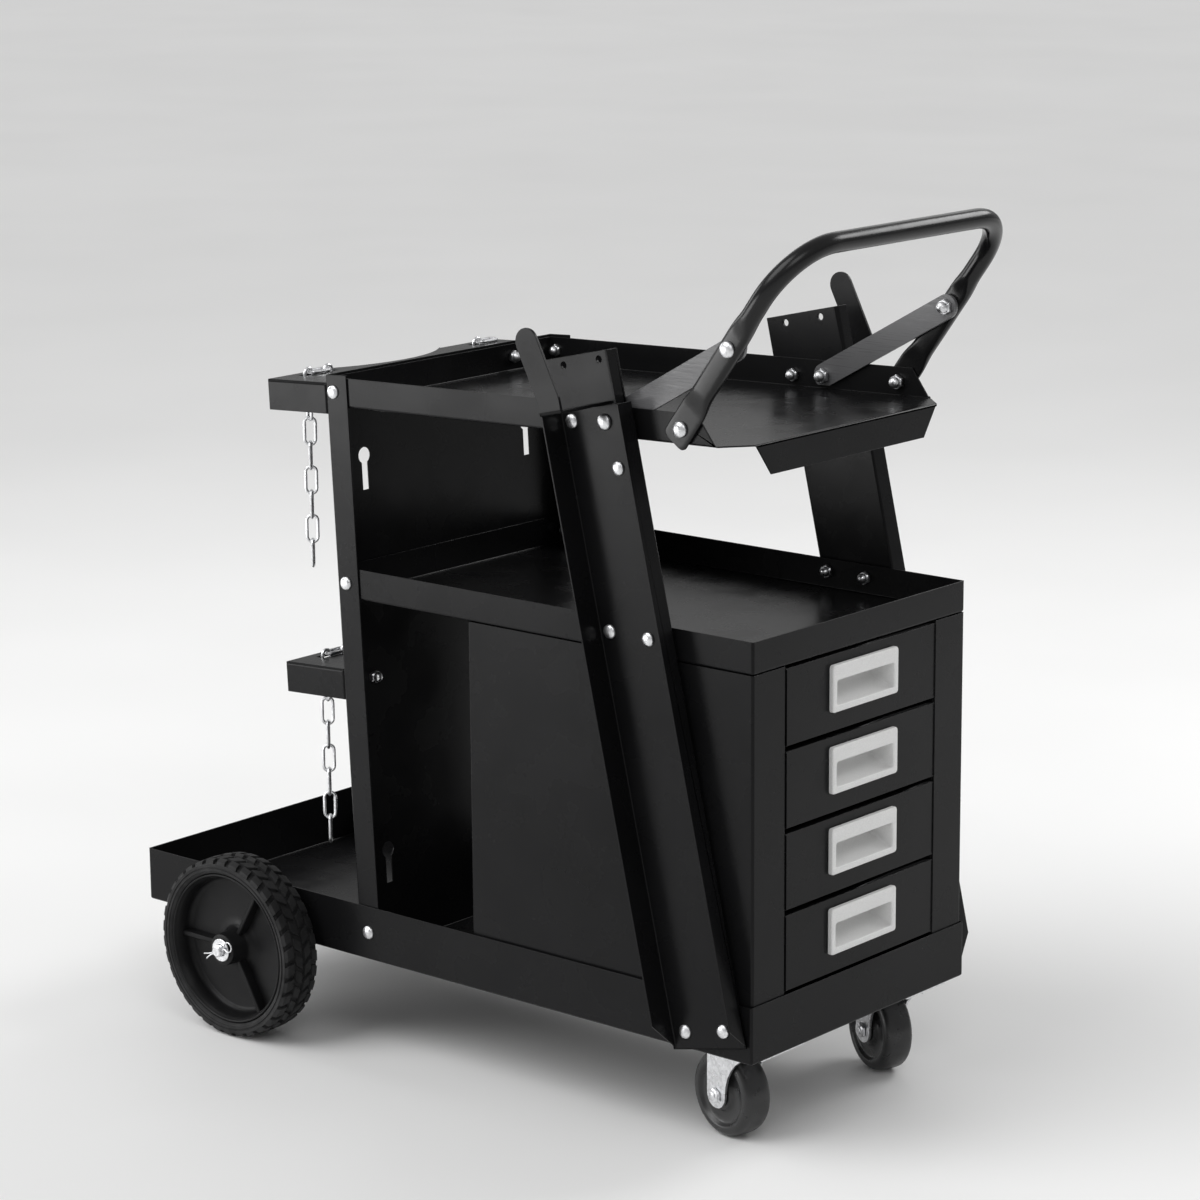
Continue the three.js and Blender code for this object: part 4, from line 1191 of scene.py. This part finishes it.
def rim_rib(bm, place, angle, inner, outer, web, settings):
    """A radial rib that tapers towards its top and runs from the hub to the rim's bed."""
    turn = place @ Matrix.Rotation(angle, 4, "Z")
    levels = ((0, 1.0), (0.78, 0.74), (0.94, 0.62), (1.0, 0.4))
    rings = []
    for rise, share in levels:
        half = settings.rib_width / 2 * share
        height = web - 1.5 * MM + (settings.rib_height + 1.5 * MM) * rise
        corners = ((inner, -0.8 * half), (outer, -half), (outer, half), (inner, 0.8 * half))
        rings.append([bm.verts.new(turn @ Vector((a, b, height))) for a, b in corners])
    skin(bm, rings)
    cap(bm, rings[0])
    cap(bm, rings[-1])


def axle_washer(side, finish):
    node = f"axle_washer_{side}"
    low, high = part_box(node)
    sign = SIDES[side]
    centre = (low + high) / 2
    centre.y = low.y if sign > 0 else high.y
    bm = bmesh.new()
    washer_ring(bm, centre, Y * sign, 5.3 * MM, (high.x - low.x) / 2, high.y - low.y)
    return make_piece(f"{node}_plain", bm, finish, node)


def wire(bm, path, radius, sides, normal):
    """A round wire along an open path in a plane, with rounded ends."""
    rings = []
    last = len(path) - 1
    for i, point in enumerate(path):
        along = (path[min(i + 1, last)] - path[max(i - 1, 0)]).normalized()
        side = along.cross(normal).normalized()
        ring = []
        for k in range(sides):
            angle = 2 * math.pi * k / sides
            ring.append(bm.verts.new(point + (side * math.cos(angle) + normal * math.sin(angle)) * radius))
        rings.append(ring)
    skin(bm, rings)
    cap(bm, rings[0])
    cap(bm, rings[-1])


COTTER_TURN = math.radians(65)
COTTER_WIRE = 2.6 * MM
COTTER_EYE = 5 * MM
COTTER_LENGTH = 22 * MM
COTTER_LEGS = 18 * MM


def cotter_pin(side, finish):
    """A split pin: a round eye whose two legs pass the axle together and splay at their ends."""
    node = f"cotter_pin_{side}"
    low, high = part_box(node)
    axle_low, axle_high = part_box("rear_axle")
    centre = (axle_low + axle_high) / 2
    centre.y = (low.y + high.y) / 2
    along = Vector((math.sin(COTTER_TURN), 0, math.cos(COTTER_TURN)))
    across = along.cross(Y)
    leg = COTTER_WIRE / 4
    eye = COTTER_EYE - leg
    end = -COTTER_LEGS
    throat = COTTER_LENGTH / 2 - COTTER_WIRE
    top = COTTER_LENGTH / 2 + COTTER_EYE - COTTER_WIRE
    route = [(3.6 * leg, end), (1.8 * leg, end + 5 * MM), (leg, end + 8 * MM), (leg, throat)]
    for angle in spread(math.radians(-65), math.radians(245), 12):
        route.append((eye * math.cos(angle), top + eye * math.sin(angle)))
    route += [(-leg, throat), (-leg, end + 8 * MM), (-1.8 * leg, end + 5 * MM), (-3.6 * leg, end + 1 * MM)]
    bm = bmesh.new()
    wire(bm, [centre + across * a + along * b for a, b in route], leg, 10, Y)
    return make_piece(f"{node}_wire", bm, finish, node)


def rear_axle(finish):
    """A bright rod with chamfered ends."""
    low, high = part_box("rear_axle")
    centre = (low + high) / 2
    radius = (high.z - low.z) / 2
    half = (high.y - low.y) / 2
    chamfer = 1 * MM
    profile = [(0, -half), (radius - chamfer, -half), (radius, chamfer - half)]
    profile += [(radius, half - chamfer), (radius - chamfer, half), (0, half)]
    bm = bmesh.new()
    turned(bm, profile, facing(centre, Y), 32)
    return make_piece("rear_axle_rod", bm, finish, "rear_axle")


class CART_OT_casters(CartOperator):
    """Make the casters' plates, forks, wheels and axle bolts"""

    bl_idname = "cart.casters"
    bl_label = "Casters"

    def execute(self, context):
        settings = context.scene.cart
        zinc = finish_of(context, "zinc")
        for side in SIDES:
            folded_sheet(f"caster_plate_{side}", settings.sheet.bracket, settings.sheet, zinc)
            folded_sheet(f"caster_fork_{side}", settings.sheet.hook, settings.sheet, zinc)
            caster_wheel(side, finish_of(context, "caster"))
            caster_bolt(side, settings.hardware, zinc)
        return {"FINISHED"}


def caster_place(side):
    """The caster wheel's middle, with Z along its axle towards the cart's left."""
    joint = JOINTS[f"caster_{side}_spin"]
    return facing(Vector(joint["pos_m"]), Vector(joint["axis"]))


def caster_wheel(side, finish):
    """A smooth rubber tread on a dished hub."""
    node = f"caster_wheel_{side}"
    low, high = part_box(node)
    radius = (high.z - low.z) / 2
    half = 13 * MM
    flank = [(4.3 * MM, half - 0.6 * MM), (5 * MM, half), (12 * MM, half), (13.2 * MM, half - 0.8 * MM)]
    flank += [(14.5 * MM, half - 2.4 * MM), (16 * MM, half - 3 * MM), (23.5 * MM, half - 3 * MM)]
    flank += [(25.2 * MM, half - 2.2 * MM), (26.4 * MM, half - 0.6 * MM), (27.6 * MM, half)]
    edge = 6 * MM
    flank += arc((radius - edge - 0.7 * MM, half - edge), edge, 90, 12, 6)
    flank += [(radius - 0.25 * MM, half - 9 * MM)]
    profile = flank + [(radius, 0)] + [(r, -y) for r, y in reversed(flank)]
    bm = bmesh.new()
    turned(bm, profile, caster_place(side), 64, closed=True)
    return make_piece(f"{node}_tread", bm, finish, node)


def caster_bolt(side, settings, finish):
    """The axle bolt: a hexagon head outboard, a nut inboard."""
    place = caster_place(side)
    axis = (place.to_3x3() @ Z).normalized()
    centre = place.translation
    end = 17.4 * MM
    bm = bmesh.new()
    for sign in SIDES.values():
        hex_nut(bm, centre + axis * (sign * end), axis * sign, 11.5 * MM, 3.2 * MM, 6.5 * MM)
    turned(bm, [(0, -end), (4 * MM, -end), (4 * MM, end), (0, end)], facing(centre, axis), 20)
    return make_piece(f"caster_axle_{side}_bolt", bm, finish, f"caster_axle_{side}")


class CART_OT_stage(CartOperator):
    """Make the floor, the lights and the camera"""

    bl_idname = "cart.stage"
    bl_label = "Stage"

    def execute(self, context):
        settings = context.scene.cart.stage
        studio_sweep(finish_of(context, "floor"))
        studio_lights(settings)
        photo_camera(settings)
        context.scene.view_settings.view_transform = "Standard"
        return {"FINISHED"}


def studio_sweep(finish):
    """A large floor under the cart."""
    half = 30.0
    bm = bmesh.new()
    ring = [bm.verts.new((half * a, half * b, 0)) for a, b in ((-1, -1), (1, -1), (1, 1), (-1, 1))]
    cap(bm, ring)
    bmesh.ops.subdivide_edges(bm, edges=bm.edges, cuts=3, use_grid_fill=True)
    mesh = bpy.data.meshes.new("studio_floor")
    bm.to_mesh(mesh)
    bm.free()
    mesh.materials.append(finish)
    floor = bpy.data.objects.new("studio_floor", mesh)
    bpy.context.scene.collection.objects.link(floor)


def area_light(name, place, aim, width, height, power):
    light = bpy.data.lights.new(name, "AREA")
    light.shape = "RECTANGLE"
    light.size = width
    light.size_y = height
    light.energy = power
    lamp = bpy.data.objects.new(name, light)
    lamp.matrix_world = facing(Vector(place), Vector(place) - Vector(aim))
    lamp.visible_camera = False
    bpy.context.scene.collection.objects.link(lamp)


def studio_lights(settings):
    """A broad key light, soft boxes on all sides and a pale surround."""
    key = bpy.data.lights.new("key_light", "SUN")
    key.energy = settings.key
    key.angle = settings.key_spread
    lamp = bpy.data.objects.new("key_light", key)
    lamp.matrix_world = facing(Vector((-1.0, -1.8, 2.2)), Vector((-0.35, -0.6, 0.72)))
    bpy.context.scene.collection.objects.link(lamp)
    aim = (0, 0, 0.4)
    area_light("left_light", (0.9, 2.0, 1.9), aim, 1.4, 0.8, settings.left)
    area_light("back_light", (-1.3, 1.8, 1.6), aim, 2.0, 0.9, settings.back)
    area_light("side_light", (-1.8, -2.0, 0.4), aim, 1.6, 0.7, settings.side)
    area_light("rear_light", (-2.3, -0.3, 0.9), aim, 0.5, 1.4, settings.rear)
    area_light("front_light", (1.7, -1.3, 2.1), aim, 1.0, 1.0, settings.front)
    world = bpy.data.worlds.new("pale_surround")
    bpy.context.scene.world = world
    world.use_nodes = True
    tree = world.node_tree
    sky = tree.nodes["Background"]
    sky.inputs["Color"].default_value = (1, 1, 1, 1)
    place = tree.nodes.new("ShaderNodeTexCoord")
    axes = tree.nodes.new("ShaderNodeSeparateXYZ")
    rise = tree.nodes.new("ShaderNodeMapRange")
    for socket, value in (("From Max", 0.45), ("To Min", settings.horizon), ("To Max", settings.zenith)):
        rise.inputs[socket].default_value = value
    tree.links.new(place.outputs["Generated"], axes.inputs["Vector"])
    tree.links.new(axes.outputs["Z"], rise.inputs["Value"])
    tree.links.new(rise.outputs["Result"], sky.inputs["Strength"])


def photo_camera(settings):
    """A camera at the photograph's place, aimed at the same point of the cart."""
    bearing, rise, roll = settings.azimuth, settings.elevation, settings.roll
    back = Vector((math.sin(bearing) * math.cos(rise), -math.cos(bearing) * math.cos(rise), math.sin(rise)))
    right = Vector((math.cos(bearing), math.sin(bearing), 0))
    up = back.cross(right)
    turned_right = right * math.cos(roll) + up * math.sin(roll)
    turned_up = up * math.cos(roll) - right * math.sin(roll)
    axes = Matrix((turned_right, turned_up, back)).transposed().to_4x4()
    camera = bpy.data.cameras.new("photo_camera")
    camera.lens = settings.lens
    eye = bpy.data.objects.new("photo_camera", camera)
    target = Vector((settings.aim_x, 0, settings.aim_z))
    eye.matrix_world = Matrix.Translation(target + back * settings.distance) @ axes
    bpy.context.scene.collection.objects.link(eye)
    bpy.context.scene.camera = eye


OPERATORS = (
    CART_OT_stage,
    CART_OT_sheet_body,
    CART_OT_side_frames,
    CART_OT_drawers,
    CART_OT_handle,
    CART_OT_cylinder_rack,
    CART_OT_chains,
    CART_OT_fasteners,
    CART_OT_rear_wheels,
    CART_OT_casters,
)


class CART_PT_pieces(Panel):
    """Lists the steps that make the cart"""

    bl_idname = "CART_PT_pieces"
    bl_label = "Welding cart"
    bl_space_type = "VIEW_3D"
    bl_region_type = "UI"
    bl_category = "Cart"

    def draw(self, context):
        for operator in OPERATORS:
            self.layout.operator(operator.bl_idname)


CLASSES = (
    CartSheet,
    CartHardware,
    CartHandle,
    CartWheels,
    CartFinishes,
    CartStage,
    CartSettings,
    *OPERATORS,
    CART_PT_pieces,
)


def register():
    for cls in CLASSES:
        bpy.utils.register_class(cls)
    bpy.types.Scene.cart = PointerProperty(type=CartSettings)


def unregister():
    del bpy.types.Scene.cart
    for cls in reversed(CLASSES):
        bpy.utils.unregister_class(cls)


def main():
    register()
    bpy.ops.cart.stage()
    bpy.ops.cart.sheet_body()
    bpy.ops.cart.side_frames()
    bpy.ops.cart.drawers()
    bpy.ops.cart.handle()
    bpy.ops.cart.cylinder_rack()
    bpy.ops.cart.chains()
    bpy.ops.cart.fasteners()
    bpy.ops.cart.rear_wheels()
    bpy.ops.cart.casters()


if __name__ == "__main__":
    main()
